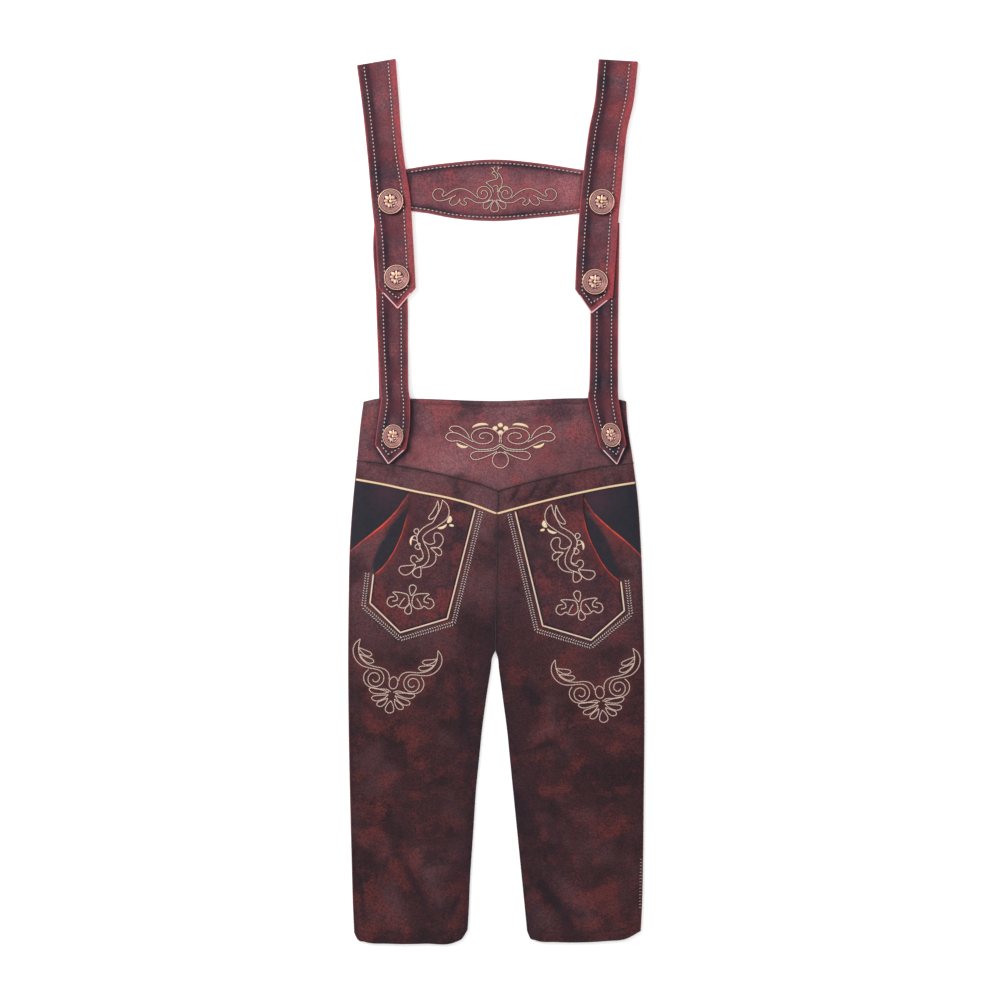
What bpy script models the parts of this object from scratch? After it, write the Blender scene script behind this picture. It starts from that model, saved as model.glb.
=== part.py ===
"""Knee-length overalls with buttoned shoulder straps, laid flat on their back.

The frame is in metres: +X to the right and +Y towards the shoulders as the front is seen, +Z up from
the surface that the cloth lies on. Every table below is in millimetres. "left" and "right" are the
sides as seen from above, and each panel is a wall of cloth between its own edge curves.
"""

import math

import bmesh
import bpy
import numpy as np
from mathutils import Vector

MM = 0.001

# Cloth and clearances
CLOTH = 1.4
STRAP_CLOTH = 2.0
POCKET_CLOTH = 1.0
SEAM_GAP = 0.3
PIPING_HEIGHT = 1.1
PIPING_WIDTH = 3.4
POCKET_PIPING_WIDTH = 2.6

# Heights of the front's outer face above the surface: at its rims, over the waist and over the legs
RIM_TOP = 2 * CLOTH + SEAM_GAP
WAIST_RISE = 3.0
LEG_RISE = 1.7
RISE_FADE = (20.0, -100.0)
EDGE_RUN = 26.0
WAIST_EDGE_RUN = 18.0
HEM_RUN = 34.0
HEM_DROP = 0.45

# Lengths along the body
WAIST_Y = 151.0
CROTCH_Y = -224.6
HEM_Y = -664.0

# Side seams and inseams, a row for each height
SIDE_SEAMS = {
    "y": (151, 122, 62, 2, -58, -148, -238, -358, -448, -538, -613, -646),
    "left": (-199, -203, -209, -215, -219.4, -221.6, -222.4, -221.3, -219.4, -217.1, -214.9, -213.4),
    "right": (194.8, 196.5, 205, 212.6, 216.6, 220.2, 222.2, 222.4, 221.4, 220.4, 218.6, 216.8),
}
INSEAMS = {
    "y": (-224.6, -230.6, -253, -298, -343, -388, -433, -478, -523, -568, -613, -646),
    "left": (-1.4, -4.6, -8.4, -15.4, -21.4, -25.9, -30.4, -33.4, -36.4, -39.4, -41.2, -43.2),
    "right": (-1.4, 1.1, 4.1, 10.1, 16.1, 20.6, 25.1, 29.6, 34.1, 38.6, 43.1, 46.3),
}
# The centre seam runs from the point of the waistband to the crotch
CENTRE_SEAM = {"y": (15.4, CROTCH_Y), "x": (2.6, -1.4)}

# Curves across the body: the waistband's top, its pointed lower seam, and the two hems
WAIST_TOP = {"x": (-199, -180, -125, 0, 125, 180, 195), "y": (149.5, 153.6, 153.9, 150.4, 154.6, 153.6, 150)}
WAIST_SEAM_LEFT = {"x": (-208, -168, -119, -54, -28, 2.6), "y": (60.8, 56.6, 48.4, 33.8, 27.2, 15.4)}
WAIST_SEAM_RIGHT = {"x": (2.6, 27, 63, 108, 154, 206), "y": (15.4, 22.4, 32.2, 41.9, 51.2, 57.5)}
HEM_LEFT = {"x": (-214, -209, -198, -161, -107, -60, -51, -43), "y": (-646, -656.5, -661, -664, -664, -661, -656, -643)}
HEM_RIGHT = {"x": (46, 50, 58, 90, 130, 165, 195, 217), "y": (-644, -654.5, -658.5, -661.5, -662, -660, -656.5, -645)}

# Folds of the front: ridges are positive and troughs negative, each from a to b with a half width
FOLDS = (
    {"a": (52, -552), "b": (116, -642), "height": -1.4, "half_width": 9},
    {"a": (74, -545), "b": (150, -640), "height": 1.9, "half_width": 15},
    {"a": (52, -590), "b": (88, -648), "height": 1.6, "half_width": 13},
    {"a": (52, -362), "b": (112, -326), "height": 1.8, "half_width": 11},
    {"a": (44, -378), "b": (96, -358), "height": -1.2, "half_width": 9},
    {"a": (-146, -528), "b": (-98, -622), "height": -1.3, "half_width": 11},
    {"a": (-120, -528), "b": (-74, -622), "height": 1.8, "half_width": 14},
    {"a": (-76, -640), "b": (-46, -570), "height": -1.2, "half_width": 8},
    {"a": (-92, -560), "b": (-52, -520), "height": 1.4, "half_width": 13},
    {"a": (-170, -560), "b": (-142, -640), "height": 1.0, "half_width": 16},
    {"a": (22, 2), "b": (38, 22), "height": -0.9, "half_width": 4.5},
    {"a": (44, 6), "b": (62, 28), "height": 0.9, "half_width": 5.5},
    {"a": (62, 8), "b": (76, 31), "height": -0.9, "half_width": 4.5},
    {"a": (-1, -150), "b": (-1, -236), "height": -1.5, "half_width": 10},
    {"a": (36, -262), "b": (70, -318), "height": -1.0, "half_width": 16},
    {"a": (-52, -250), "b": (-44, -380), "height": -0.8, "half_width": 14},
)

# Gold piping across the hips, and the two pockets below it
PIPING_LEFT = {"x": (-213, -168, -119, -70, -38, 0.2), "y": (33.2, 25, 14.3, 4.6, -4.1, -18.4)}
PIPING_RIGHT = {"x": (2.2, 30, 76, 125, 174, 211), "y": (-18.4, -10.7, 1.3, 12.7, 22.4, 28.3)}
POCKET_LEFT = {
    "mouth": {
        "y": (16, -9, -22, -34.4, -48, -59.6, -75, -89.2, -100, -108, -153),
        "x": (-131, -131, -132.4, -135.4, -139, -143.8, -151.5, -160.7, -171, -181.4, -187),
    },
    "inner": {"y": (-9, -174.4), "x": (-33.4, -75.4)},
    "floor": {"x": (-187, -143.8, -74), "y": (-151.5, -194.6, -173)},
    "tip": 0.39,
}
POCKET_RIGHT = {
    "mouth": {
        "y": (13, -13.4, -28, -42.8, -60, -76.4, -91, -103.9, -112, -118.6, -165),
        "x": (130.9, 130.9, 132.8, 136.1, 142.5, 150.8, 158.5, 167.6, 176, 184.2, 189.8),
    },
    "inner": {"y": (-13, -184.9), "x": (30.6, 71.8)},
    "floor": {"x": (70, 142.4, 189.8), "y": (-183.5, -206, -163)},
    "tip": 0.595,
}

# Shoulder straps: a row runs across the strap, and "bottom" is its underside's height
UPPER_STRAP_LEFT = {
    "left_x": (-208.9, -202, -197, -192.5, -188.5, -185.6, -181.2, -178.5, -177.1),
    "left_y": (652, 601, 557, 512, 467, 438, 396, 352, 320),
    "right_x": (-151, -146.5, -143, -138, -130.5, -127.5, -125, -122.5, -120.8),
    "right_y": (661.9, 606, 557, 512, 467, 438, 396, 352, 320),
    "bottom": (3.0, 2.9, 3.0, 3.7, 4.2, 4.6, 4.6, 4.6, 4.6),
    "tip": (-147.6, 289.2),
}
UPPER_STRAP_RIGHT = {
    "left_x": (153.5, 148, 139, 133, 127.5, 125, 122, 119.5, 118.2),
    "left_y": (661.1, 602, 557, 512, 467, 438, 396, 352, 318),
    "right_x": (212.6, 206.5, 196.5, 191.5, 187.5, 184.5, 181.5, 178.5, 175.3),
    "right_y": (657.6, 602, 557, 512, 467, 438, 396, 352, 307.5),
    "bottom": (3.0, 2.9, 3.0, 3.7, 4.2, 4.6, 4.6, 4.6, 4.6),
    "tip": (143, 282.4),
}
BACK_STRAP_LEFT = {
    "y": (640, 560, 420, 250, 185, 162, 100),
    "x": (-177, -169, -160, -156, -154.5, -154, -152.5),
    "width": (54, 47, 44, 44, 44, 44, 44),
    "bottom": (0, 0, 0, 0, 0, 1.75, 1.75),
}
BACK_STRAP_RIGHT = {
    "y": (640, 560, 420, 250, 185, 162, 100),
    "x": (180, 169, 160, 162.5, 162.5, 162.5, 161),
    "width": (54, 47, 40, 40, 40, 40, 40),
    "bottom": (0, 0, 0, 0, 0, 1.75, 1.75),
}
LOWER_STRAP_LEFT = {
    "left_x": (-187, -184.8, -181.1, -179.8, -177.8, -174.6, -173.6, -173.2, -178.5, -181.9),
    "left_y": (424, 378, 320, 285, 232, 175, 160, 149, 112, 84.4),
    "right_x": (-141.5, -138.8, -133.9, -132.6, -132.5, -131.8, -130.5, -129, -129.6, -134.9),
    "right_y": (424, 378, 320, 285, 232, 175, 160, 149, 112, 79),
    "bottom": (2.3, 2.3, 2.3, 2.3, 2.3, 5.4, 6.5, 6.5, 6.5, 6.5),
    "tip": (-161.6, 56.2),
}
LOWER_STRAP_RIGHT = {
    "left_x": (143.5, 142, 141.3, 141.2, 140.8, 139.6, 137.8, 138.6, 147, 154.9),
    "left_y": (418, 378, 320, 285, 232, 175, 160, 149, 112, 81.4),
    "right_x": (185, 184.6, 183.6, 183.2, 182.7, 182.6, 182.9, 184, 190, 195),
    "right_y": (418, 378, 320, 285, 232, 175, 160, 149, 112, 85.3),
    "bottom": (2.3, 2.3, 2.3, 2.3, 2.3, 5.4, 6.5, 6.5, 6.5, 6.5),
    "tip": (180.8, 55.6),
}

# Band across the chest, between the straps
CHEST_BAND = {
    "x": (-154, -132.8, -106, -68, -7, 66, 104.3, 131.2, 154),
    "top": (494, 498.8, 503.6, 508.4, 513.2, 507.4, 501.7, 496.9, 492),
    "floor": (439.5, 436.3, 432.8, 425.6, 420.8, 426, 429.6, 433.5, 437),
    "bottom": (2.3, 2.2, 0, 0, 0, 0, 0, 2.2, 2.3),
}

# Buttons: centre, half width across and along the strap, turn, and the cloth's top below each
BUTTONS = {
    "button_left_1": {"x": -158.2, "y": 449.6, "across": 19.0, "along": 19.0, "turn": -4, "on": 6.6},
    "button_left_2": {"x": -149.2, "y": 335.5, "across": 19.0, "along": 19.0, "turn": -3, "on": 6.6},
    "button_left_3": {"x": -154.7, "y": 97.3, "across": 15.4, "along": 17.8, "turn": 7, "on": 8.5},
    "button_right_1": {"x": 158.2, "y": 448.9, "across": 19.0, "along": 19.0, "turn": 4, "on": 6.6},
    "button_right_2": {"x": 148.1, "y": 329.0, "across": 19.0, "along": 19.0, "turn": 5, "on": 6.6},
    "button_right_3": {"x": 172.3, "y": 99.4, "across": 14.4, "along": 18.2, "turn": -13, "on": 8.5},
}
# A button's turned profile: share of its radius, and height in millimetres
BUTTON_PROFILE = {
    "radius": (0.0, 0.4, 0.55, 0.62, 0.8, 0.88, 0.97, 1.0, 0.93, 0.0),
    "height": (3.3, 3.0, 2.5, 2.0, 1.9, 2.7, 2.3, 1.3, 0.0, 0.0),
}
BUTTON_STEPS = 20

# Where the rows and columns of each grid lie, as shares of the panel
SEAM_SHARES = (0, 0.02, 0.06, 0.12, 0.22, 0.34, 0.46, 0.58, 0.7, 0.82, 0.9, 0.96, 1)
LEG_ROWS = 34
BACK_LEG_ROWS = 20
BAND_ROWS = 6
HEM_ROWS = (0.955, 0.985)
FOLD_STEPS = 8
STRAP_COLUMNS = 2
PIPING_STEP = 9.0

CLOTH_COLOURS = {
    "leg": (0.075, 0.03, 0.032),
    "waistband": (0.15, 0.065, 0.07),
    "strap": (0.17, 0.07, 0.078),
    "pocket": (0.10, 0.038, 0.04),
    "gold": (0.55, 0.36, 0.22),
    "cream": (0.75, 0.63, 0.48),
    "button": (0.45, 0.22, 0.16),
}


def smooth(table, at, key_name, value_name):
    """Reads a smooth curve through a table's points, in either order of its key."""
    keys = np.array(table[key_name], float)
    values = np.array(table[value_name], float)
    if keys[0] > keys[-1]:
        keys, values = keys[::-1], values[::-1]
    at = min(max(at, keys[0]), keys[-1])
    slopes = np.gradient(values, keys)
    i = int(np.clip(np.searchsorted(keys, at) - 1, 0, len(keys) - 2))
    span = keys[i + 1] - keys[i]
    t = (at - keys[i]) / span
    start = (2 * t**3 - 3 * t**2 + 1) * values[i] + (t**3 - 2 * t**2 + t) * span * slopes[i]
    end = (3 * t**2 - 2 * t**3) * values[i + 1] + (t**3 - t**2) * span * slopes[i + 1]
    return float(start + end)


def straight(table, at, key_name, value_name):
    """Reads a line of straight stretches through a table's points."""
    keys = np.array(table[key_name], float)
    values = np.array(table[value_name], float)
    if keys[0] > keys[-1]:
        keys, values = keys[::-1], values[::-1]
    return float(np.interp(at, keys, values))


def side(y, which):
    return smooth(SIDE_SEAMS, y, "y", which)


def inner(y, which):
    """The leg's inner edge: half a seam from the centre above the crotch, and the inseam below it."""
    if y < CROTCH_Y:
        return smooth(INSEAMS, y, "y", which)
    half = SEAM_GAP / 2
    return straight(CENTRE_SEAM, y, "y", "x") + (half if which == "right" else -half)


def waist_seam(x):
    table = WAIST_SEAM_LEFT if x < WAIST_SEAM_LEFT["x"][-1] else WAIST_SEAM_RIGHT
    return smooth(table, x, "x", "y")


def ease(t):
    t = min(max(t, 0.0), 1.0)
    return t * t * (3 - 2 * t)


def rim_rise(distance, run):
    """How much of the full height the cloth has at this distance from an edge."""
    return math.sin(math.pi / 2 * min(max(distance, 0.0) / run, 1.0))


def folds_at(x, y):
    total = 0.0
    for fold in FOLDS:
        a, b = np.array(fold["a"], float), np.array(fold["b"], float)
        along = b - a
        share = float(np.dot((x, y) - a, along) / np.dot(along, along))
        if not -0.3 < share < 1.3:
            continue
        nearest = a + along * min(max(share, 0.0), 1.0)
        distance = math.hypot(x - nearest[0], y - nearest[1])
        fade = 1 - 0.5 * abs(2 * min(max(share, 0.0), 1.0) - 1) ** 2
        total += fold["height"] * fade * math.exp(-((distance / fold["half_width"]) ** 2))
    return total


def front_top(x, y):
    """Height of the front's outer face."""
    high, low = RISE_FADE
    waist = ease((y - low) / (high - low))
    rise = LEG_RISE + (WAIST_RISE - LEG_RISE) * waist
    which = "left" if x < straight(CENTRE_SEAM, y, "y", "x") else "right"
    share = rim_rise(abs(x - side(y, which)), EDGE_RUN + (WAIST_EDGE_RUN - EDGE_RUN) * waist)
    if y < CROTCH_Y:
        below = ease((CROTCH_Y - y) / EDGE_RUN)
        share *= 1 - below * (1 - rim_rise(abs(x - inner(y, which)), EDGE_RUN))
    hem = 1 - HEM_DROP * (1 - rim_rise(y - HEM_Y, HEM_RUN))
    return max(RIM_TOP + (rise + folds_at(x, y)) * share * hem, RIM_TOP)


def finish_mesh(bm, name, material):
    """Puts a finished bmesh, in millimetres, into the scene as one named part."""
    bmesh.ops.scale(bm, vec=Vector((MM, MM, MM)), verts=bm.verts)
    bmesh.ops.recalc_face_normals(bm, faces=bm.faces)
    mesh = bpy.data.meshes.new(name)
    bm.to_mesh(mesh)
    bm.free()
    obj = bpy.data.objects.new(name, mesh)
    obj.data.materials.append(material)
    PARTS.objects.link(obj)
    obj.data.shade_smooth()
    obj.data.set_sharp_from_angle(angle=math.radians(40))
    return obj


def make_material(name, colour, roughness=0.85, metallic=0.0):
    material = bpy.data.materials.new(name)
    material.use_nodes = True
    shader = material.node_tree.nodes["Principled BSDF"]
    shader.inputs["Base Color"].default_value = (*colour, 1)
    shader.inputs["Roughness"].default_value = roughness
    shader.inputs["Metallic"].default_value = metallic
    return material


def slab(name, material, columns, rows, surface):
    """A closed slab over a grid: surface(u, v) gives the place of a point and the heights of both faces."""
    bm = bmesh.new()
    bmesh.ops.create_grid(bm, x_segments=len(columns) - 1, y_segments=len(rows) - 1, size=0.5)
    below = bmesh.ops.extrude_face_region(bm, geom=bm.faces[:])["geom"]
    lower = {item for item in below if isinstance(item, bmesh.types.BMVert)}
    for vert in bm.verts:
        u = columns[round((vert.co.x + 0.5) * (len(columns) - 1))]
        v = rows[round((0.5 - vert.co.y) * (len(rows) - 1))]
        x, y, top, bottom = surface(u, v)
        vert.co = (x, y, bottom if vert in lower else top)
    return finish_mesh(bm, name, material)


def panel(name, material, columns, rows, place, top, thickness):
    """A wall of cloth laid between its own edges."""

    def surface(u, v):
        x, y = place(u, v)
        return x, y, top(x, y), top(x, y) - thickness

    return slab(name, material, columns, rows, surface)


def between(left, right, head, foot):
    """Gives the place (u, v) of a panel from its left and right edges and its head and foot curves."""

    def place(u, v):
        ends = []
        for curve in (head, foot):
            y = curve(0.0)
            for _ in range(8):
                x = left(y) + (right(y) - left(y)) * u
                y = curve(x)
            ends.append(y)
        y = ends[0] + (ends[1] - ends[0]) * v
        return left(y) + (right(y) - left(y)) * u, y

    return place


def even(count):
    return [i / count for i in range(count + 1)]


def leg_rows(count):
    """Even rows, with the hem's own rows between the last two."""
    return sorted(set([*even(count), *HEM_ROWS]))


def hem(which):
    table = HEM_LEFT if which == "left" else HEM_RIGHT
    return lambda x: smooth(table, x, "x", "y")


def leg_edges(which):
    """The left and the right edge of a leg panel as it is seen."""
    outer_edge, inner_edge = lambda y: side(y, which), lambda y: inner(y, which)
    return (outer_edge, inner_edge) if which == "left" else (inner_edge, outer_edge)


def seam_stations(which):
    """The x of each column where it meets the waistband's seam, from the side to the centre."""
    outer_x, inner_x = side(waist_seam(side(60, which)), which), inner(CENTRE_SEAM["y"][0], which)
    return [outer_x + (inner_x - outer_x) * share for share in SEAM_SHARES]


def columns_at(stations, left, right, drop):
    """A panel's columns as shares of its width, so that they meet the waistband's seam at the stations."""
    shares = []
    for x in sorted(stations):
        y = waist_seam(x) - drop
        shares.append(min(max((x - left(y)) / (right(y) - left(y)), 0.0), 1.0))
    shares[0], shares[-1] = 0.0, 1.0
    return shares


def make_leg(which, front, material):
    left, right = leg_edges(which)
    head = lambda x: waist_seam(x) - SEAM_GAP
    place = between(left, right, head, hem(which))
    columns = columns_at(seam_stations(which), left, right, SEAM_GAP)
    if front:
        return panel(f"front_leg_{which}", material, columns, leg_rows(LEG_ROWS), place, front_top, CLOTH)
    rows = leg_rows(BACK_LEG_ROWS)
    return panel(f"back_leg_{which}", material, columns, rows, place, lambda x, y: CLOTH, CLOTH)


def make_waistband(front, material):
    left, right = lambda y: side(y, "left"), lambda y: side(y, "right")
    place = between(left, right, lambda x: smooth(WAIST_TOP, x, "x", "y"), waist_seam)
    stations = seam_stations("left") + seam_stations("right")
    columns = columns_at(stations, left, right, 0.0)
    if front:
        return panel("front_waistband", material, columns, even(BAND_ROWS), place, front_top, CLOTH)
    return panel("back_waistband", material, columns, even(2), place, lambda x, y: CLOTH, CLOTH)


def piping_line(which):
    table = PIPING_LEFT if which == "left" else PIPING_RIGHT
    return lambda x: smooth(table, x, "x", "y")


def make_pocket(which, material):
    """A patch pocket with a scooped mouth, lying on the front of the leg below the piping."""
    table = POCKET_LEFT if which == "left" else POCKET_RIGHT
    outer_edge = lambda y: straight(table["mouth"], y, "y", "x")
    inner_edge = lambda y: straight(table["inner"], y, "y", "x")
    left, right = (outer_edge, inner_edge) if which == "left" else (inner_edge, outer_edge)
    line = piping_line(which)
    head = lambda x: line(x) - PIPING_WIDTH / 2 - SEAM_GAP - 0.5
    floor = lambda x: straight(table["floor"], x, "x", "y")
    columns = sorted([0, 0.1, 0.25, 0.5, 0.75, 0.9, 1, table["tip"]])
    top = lambda x, y: front_top(x, y) + SEAM_GAP + POCKET_CLOTH
    place = between(left, right, head, floor)
    return panel(f"pocket_{which}", material, columns, even(13), place, top, POCKET_CLOTH)


def resample(points, step):
    """The same line with points no further apart than the step, its corners kept."""
    line = [points[0]]
    for a, b in zip(points, points[1:]):
        count = max(1, math.ceil(math.dist(a, b) / step))
        line += [tuple(np.array(a) + (np.array(b) - a) * i / count) for i in range(1, count + 1)]
    return line


def make_piping(name, points, width, material):
    """A raised cord with a domed top along a line, its underside just above the front's cloth."""
    columns, domes = (-0.5, -0.3, 0.3, 0.5), {-0.5: 0.35, -0.3: 1.0, 0.3: 1.0, 0.5: 0.35}

    def surface(u, v):
        here = np.array(points[v], float)
        along = np.array(points[min(v + 1, len(points) - 1)], float) - points[max(v - 1, 0)]
        across = np.array((along[1], -along[0])) / np.linalg.norm(along)
        x, y = here + across * width * u
        base = front_top(x, y) + SEAM_GAP
        return x, y, base + PIPING_HEIGHT * domes[u], base

    return slab(name, material, columns, range(len(points)), surface)


def make_hip_piping(which, material):
    table = PIPING_LEFT if which == "left" else PIPING_RIGHT
    count = int((table["x"][-1] - table["x"][0]) / PIPING_STEP)
    xs = np.linspace(table["x"][0], table["x"][-1], count + 1)
    line = piping_line(which)
    return make_piping(f"hip_piping_{which}", [(x, line(x)) for x in xs], PIPING_WIDTH, material)


def make_pocket_piping(which, material):
    """The cream cord round the pocket: down its inner side, along its floor and up to the mouth."""
    table = POCKET_LEFT if which == "left" else POCKET_RIGHT
    sign = 1 if which == "left" else -1
    clear = POCKET_PIPING_WIDTH / 2 + SEAM_GAP + 0.5
    floor = list(zip(table["floor"]["x"], table["floor"]["y"]))
    if which == "left":
        floor = floor[::-1]
    inner_x, inner_y = table["inner"]["x"], table["inner"]["y"]
    mouth_end = (table["mouth"]["x"][-2] - sign * (clear + 0.6), table["mouth"]["y"][-2] - 1.0)
    points = [
        (inner_x[0] + sign * clear, inner_y[0] - 2.0),
        (inner_x[1] + sign * clear, inner_y[1] - clear * 0.8),
        (floor[1][0], floor[1][1] - clear * 1.1),
        (floor[2][0] - sign * clear * 1.1, floor[2][1] - clear * 0.6),
        mouth_end,
    ]
    return make_piping(f"pocket_piping_{which}", resample(points, 14.0), POCKET_PIPING_WIDTH, material)


def strap_rows(table, end=True):
    """Rows of (left, right) points along a strap, with its pointed end last."""
    rows = []
    for lx, ly, rx, ry, z in zip(*(table[key] for key in ("left_x", "left_y", "right_x", "right_y", "bottom"))):
        rows.append((Vector((lx, ly, z)), Vector((rx, ry, z))))
    if end:
        tip = Vector((*table["tip"], table["bottom"][-1]))
        half = Vector((0.9, 0, 0))
        rows.append((tip - half, tip + half))
    return rows


def strap_sheet(name, rows, thickness, material):
    """A strap from its rows: the middle of the cloth as an open sheet, made solid to both sides."""
    count = STRAP_COLUMNS
    bm = bmesh.new()
    bmesh.ops.create_grid(bm, x_segments=count, y_segments=len(rows) - 1, size=0.5)
    for vert in bm.verts:
        left, right = rows[round((0.5 - vert.co.y) * (len(rows) - 1))]
        vert.co = left.lerp(right, round((vert.co.x + 0.5) * count) / count)
        vert.co.z += thickness / 2
    obj = finish_mesh(bm, name, material)
    wall = obj.modifiers.new("wall", "SOLIDIFY")
    wall.thickness = thickness * MM
    wall.offset = 0
    wall.use_even_offset = True
    return obj


def make_shoulder_strap(which, material):
    """One long strap: its pointed front end, the fold over the shoulder and the run down the back."""
    front = strap_rows(UPPER_STRAP_LEFT if which == "left" else UPPER_STRAP_RIGHT)
    back = BACK_STRAP_LEFT if which == "left" else BACK_STRAP_RIGHT
    left, right = front[0]
    radius = left.z / 2
    fold = []
    for i in range(1, FOLD_STEPS):
        angle = math.pi * i / FOLD_STEPS
        shift = Vector((0, radius * math.sin(angle), -radius * (1 - math.cos(angle))))
        fold.append((left + shift, right + shift))
    down = []
    for y, x, width, z in zip(back["y"], back["x"], back["width"], back["bottom"]):
        half = Vector((width / 2, 0, 0))
        down.append((Vector((x, y, z)) - half, Vector((x, y, z)) + half))
    under = (left.copy(), right.copy())
    for point in under:
        point.z = 0.0
    rows = [*front[::-1], *fold, under, *down]
    return strap_sheet(f"shoulder_strap_{which}", rows, STRAP_CLOTH, material)


def make_lower_strap(which, material):
    """The short strap from under the shoulder strap down to its pointed tab on the waistband."""
    table = LOWER_STRAP_LEFT if which == "left" else LOWER_STRAP_RIGHT
    return strap_sheet(f"lower_strap_{which}", strap_rows(table), STRAP_CLOTH, material)


def make_chest_band(material):
    columns = even(22)
    first, last = CHEST_BAND["x"][0], CHEST_BAND["x"][-1]

    def place(u, v):
        x = first + (last - first) * u
        head, floor = smooth(CHEST_BAND, x, "x", "top"), smooth(CHEST_BAND, x, "x", "floor")
        return x, head + (floor - head) * v

    top = lambda x, y: straight(CHEST_BAND, x, "x", "bottom") + CLOTH
    return panel("chest_band", material, columns, even(4), place, top, CLOTH)


def make_button(name, spec, material):
    """A turned metal button with a rim, a sunk ring and a domed middle."""
    bm = bmesh.new()
    points = zip(BUTTON_PROFILE["radius"], BUTTON_PROFILE["height"])
    verts = [bm.verts.new((radius * spec["along"] * MM, 0, height * MM)) for radius, height in points]
    for pair in zip(verts, verts[1:]):
        bm.edges.new(pair)
    mesh = bpy.data.meshes.new(name)
    bm.to_mesh(mesh)
    bm.free()
    obj = bpy.data.objects.new(name, mesh)
    obj.data.materials.append(material)
    PARTS.objects.link(obj)
    turned = obj.modifiers.new("turned", "SCREW")
    turned.axis = "Z"
    turned.angle = math.tau
    turned.steps = turned.render_steps = BUTTON_STEPS
    turned.use_merge_vertices = True
    turned.merge_threshold = 1e-5
    obj.location = (spec["x"] * MM, spec["y"] * MM, (spec["on"] + SEAM_GAP) * MM)
    obj.rotation_euler.z = math.radians(-spec["turn"])
    obj.scale.x = spec["across"] / spec["along"]
    return obj


def clear_scene():
    for obj in list(bpy.data.objects):
        bpy.data.objects.remove(obj)


def build():
    finishes = {}
    for name, colour in CLOTH_COLOURS.items():
        metal = name == "button"
        finishes[name] = make_material(name, colour, 0.4 if metal else 0.85, 1.0 if metal else 0.0)
    make_waistband(False, finishes["waistband"])
    make_waistband(True, finishes["waistband"])
    for which in ("left", "right"):
        make_leg(which, False, finishes["leg"])
        make_leg(which, True, finishes["leg"])
        make_pocket(which, finishes["pocket"])
        make_hip_piping(which, finishes["gold"])
        make_pocket_piping(which, finishes["cream"])
        make_shoulder_strap(which, finishes["strap"])
        make_lower_strap(which, finishes["strap"])
    make_chest_band(finishes["strap"])
    for name, spec in BUTTONS.items():
        make_button(name, spec, finishes["button"])


clear_scene()
PARTS = bpy.data.collections.new("overalls")
bpy.context.scene.collection.children.link(PARTS)
build()
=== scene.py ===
"""Knee-length costume overalls laid flat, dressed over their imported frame.

The garment's pieces are rebuilt as fine cloth on the frame's forms, with their print, cords,
embroidery, stitching and turned buttons. Lengths are millimetres: +X to the right and +Y towards the
shoulders as the front is seen, +Z up from the floor. "left" and "right" are the sides as seen.
"""

from __future__ import annotations

import logging
import math
from collections.abc import Callable, Sequence
from dataclasses import dataclass, field
from enum import Enum

import bmesh
import bpy
import numpy as np
from mathutils import Matrix, Vector
from mathutils.kdtree import KDTree

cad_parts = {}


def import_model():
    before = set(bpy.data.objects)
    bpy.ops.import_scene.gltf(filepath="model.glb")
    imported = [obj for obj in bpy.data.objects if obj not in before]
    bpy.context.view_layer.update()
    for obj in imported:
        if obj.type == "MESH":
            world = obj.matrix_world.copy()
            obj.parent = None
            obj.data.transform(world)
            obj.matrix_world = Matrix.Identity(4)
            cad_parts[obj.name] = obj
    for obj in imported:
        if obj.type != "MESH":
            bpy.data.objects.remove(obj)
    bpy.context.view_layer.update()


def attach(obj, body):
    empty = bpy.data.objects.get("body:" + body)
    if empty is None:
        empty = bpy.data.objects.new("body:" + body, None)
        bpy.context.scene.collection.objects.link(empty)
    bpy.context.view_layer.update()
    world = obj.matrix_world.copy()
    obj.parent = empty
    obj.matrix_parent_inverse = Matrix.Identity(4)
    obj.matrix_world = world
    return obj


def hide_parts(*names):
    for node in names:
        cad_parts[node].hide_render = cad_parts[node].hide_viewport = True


log = logging.getLogger("overalls")

Array = np.ndarray
Object = bpy.types.Object
Socket = bpy.types.NodeSocket
Tree = bpy.types.NodeTree
Pair = tuple[float, float]
Triple = tuple[float, float, float]
Ink = tuple[int, int, int]
Masks = dict[str, Array]

MM = 0.001

CLOTH = 1.4
STRAP_CLOTH = 2.0
POCKET_CLOTH = 1.0
SEAM_GAP = 0.3
RIM_TOP = 2 * CLOTH + SEAM_GAP
CROTCH_Y = -224.6
POINT_X = 2.6


class Hand(Enum):
    """The side of the garment, as its front is seen."""

    LEFT = "left"
    RIGHT = "right"

    @property
    def sign(self) -> int:
        """-1 on the left and 1 on the right."""
        return -1 if self is Hand.LEFT else 1


@dataclass(frozen=True)
class Curve:
    """A line through a short table of points, read smoothly or as straight stretches."""

    at: tuple[float, ...]
    value: tuple[float, ...]
    straight: bool = False

    def __call__(self, where: Array | float) -> Array:
        """Reads the line.

        Args:
            where: the places to read it at, held to the table's ends.

        Returns:
            The line's value at each place.
        """
        keys, values = np.array(self.at, float), np.array(self.value, float)
        if keys[0] > keys[-1]:
            keys, values = keys[::-1], values[::-1]
        where = np.clip(where, keys[0], keys[-1])
        if self.straight:
            return np.interp(where, keys, values)
        slopes = np.gradient(values, keys)
        i = np.clip(np.searchsorted(keys, where) - 1, 0, len(keys) - 2)
        span = keys[i + 1] - keys[i]
        t = (where - keys[i]) / span
        low = (2 * t**3 - 3 * t**2 + 1) * values[i] + (t**3 - 2 * t**2 + t) * span * slopes[i]
        high = (3 * t**2 - 2 * t**3) * values[i + 1] + (t**3 - t**2) * span * slopes[i + 1]
        return low + high


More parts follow.
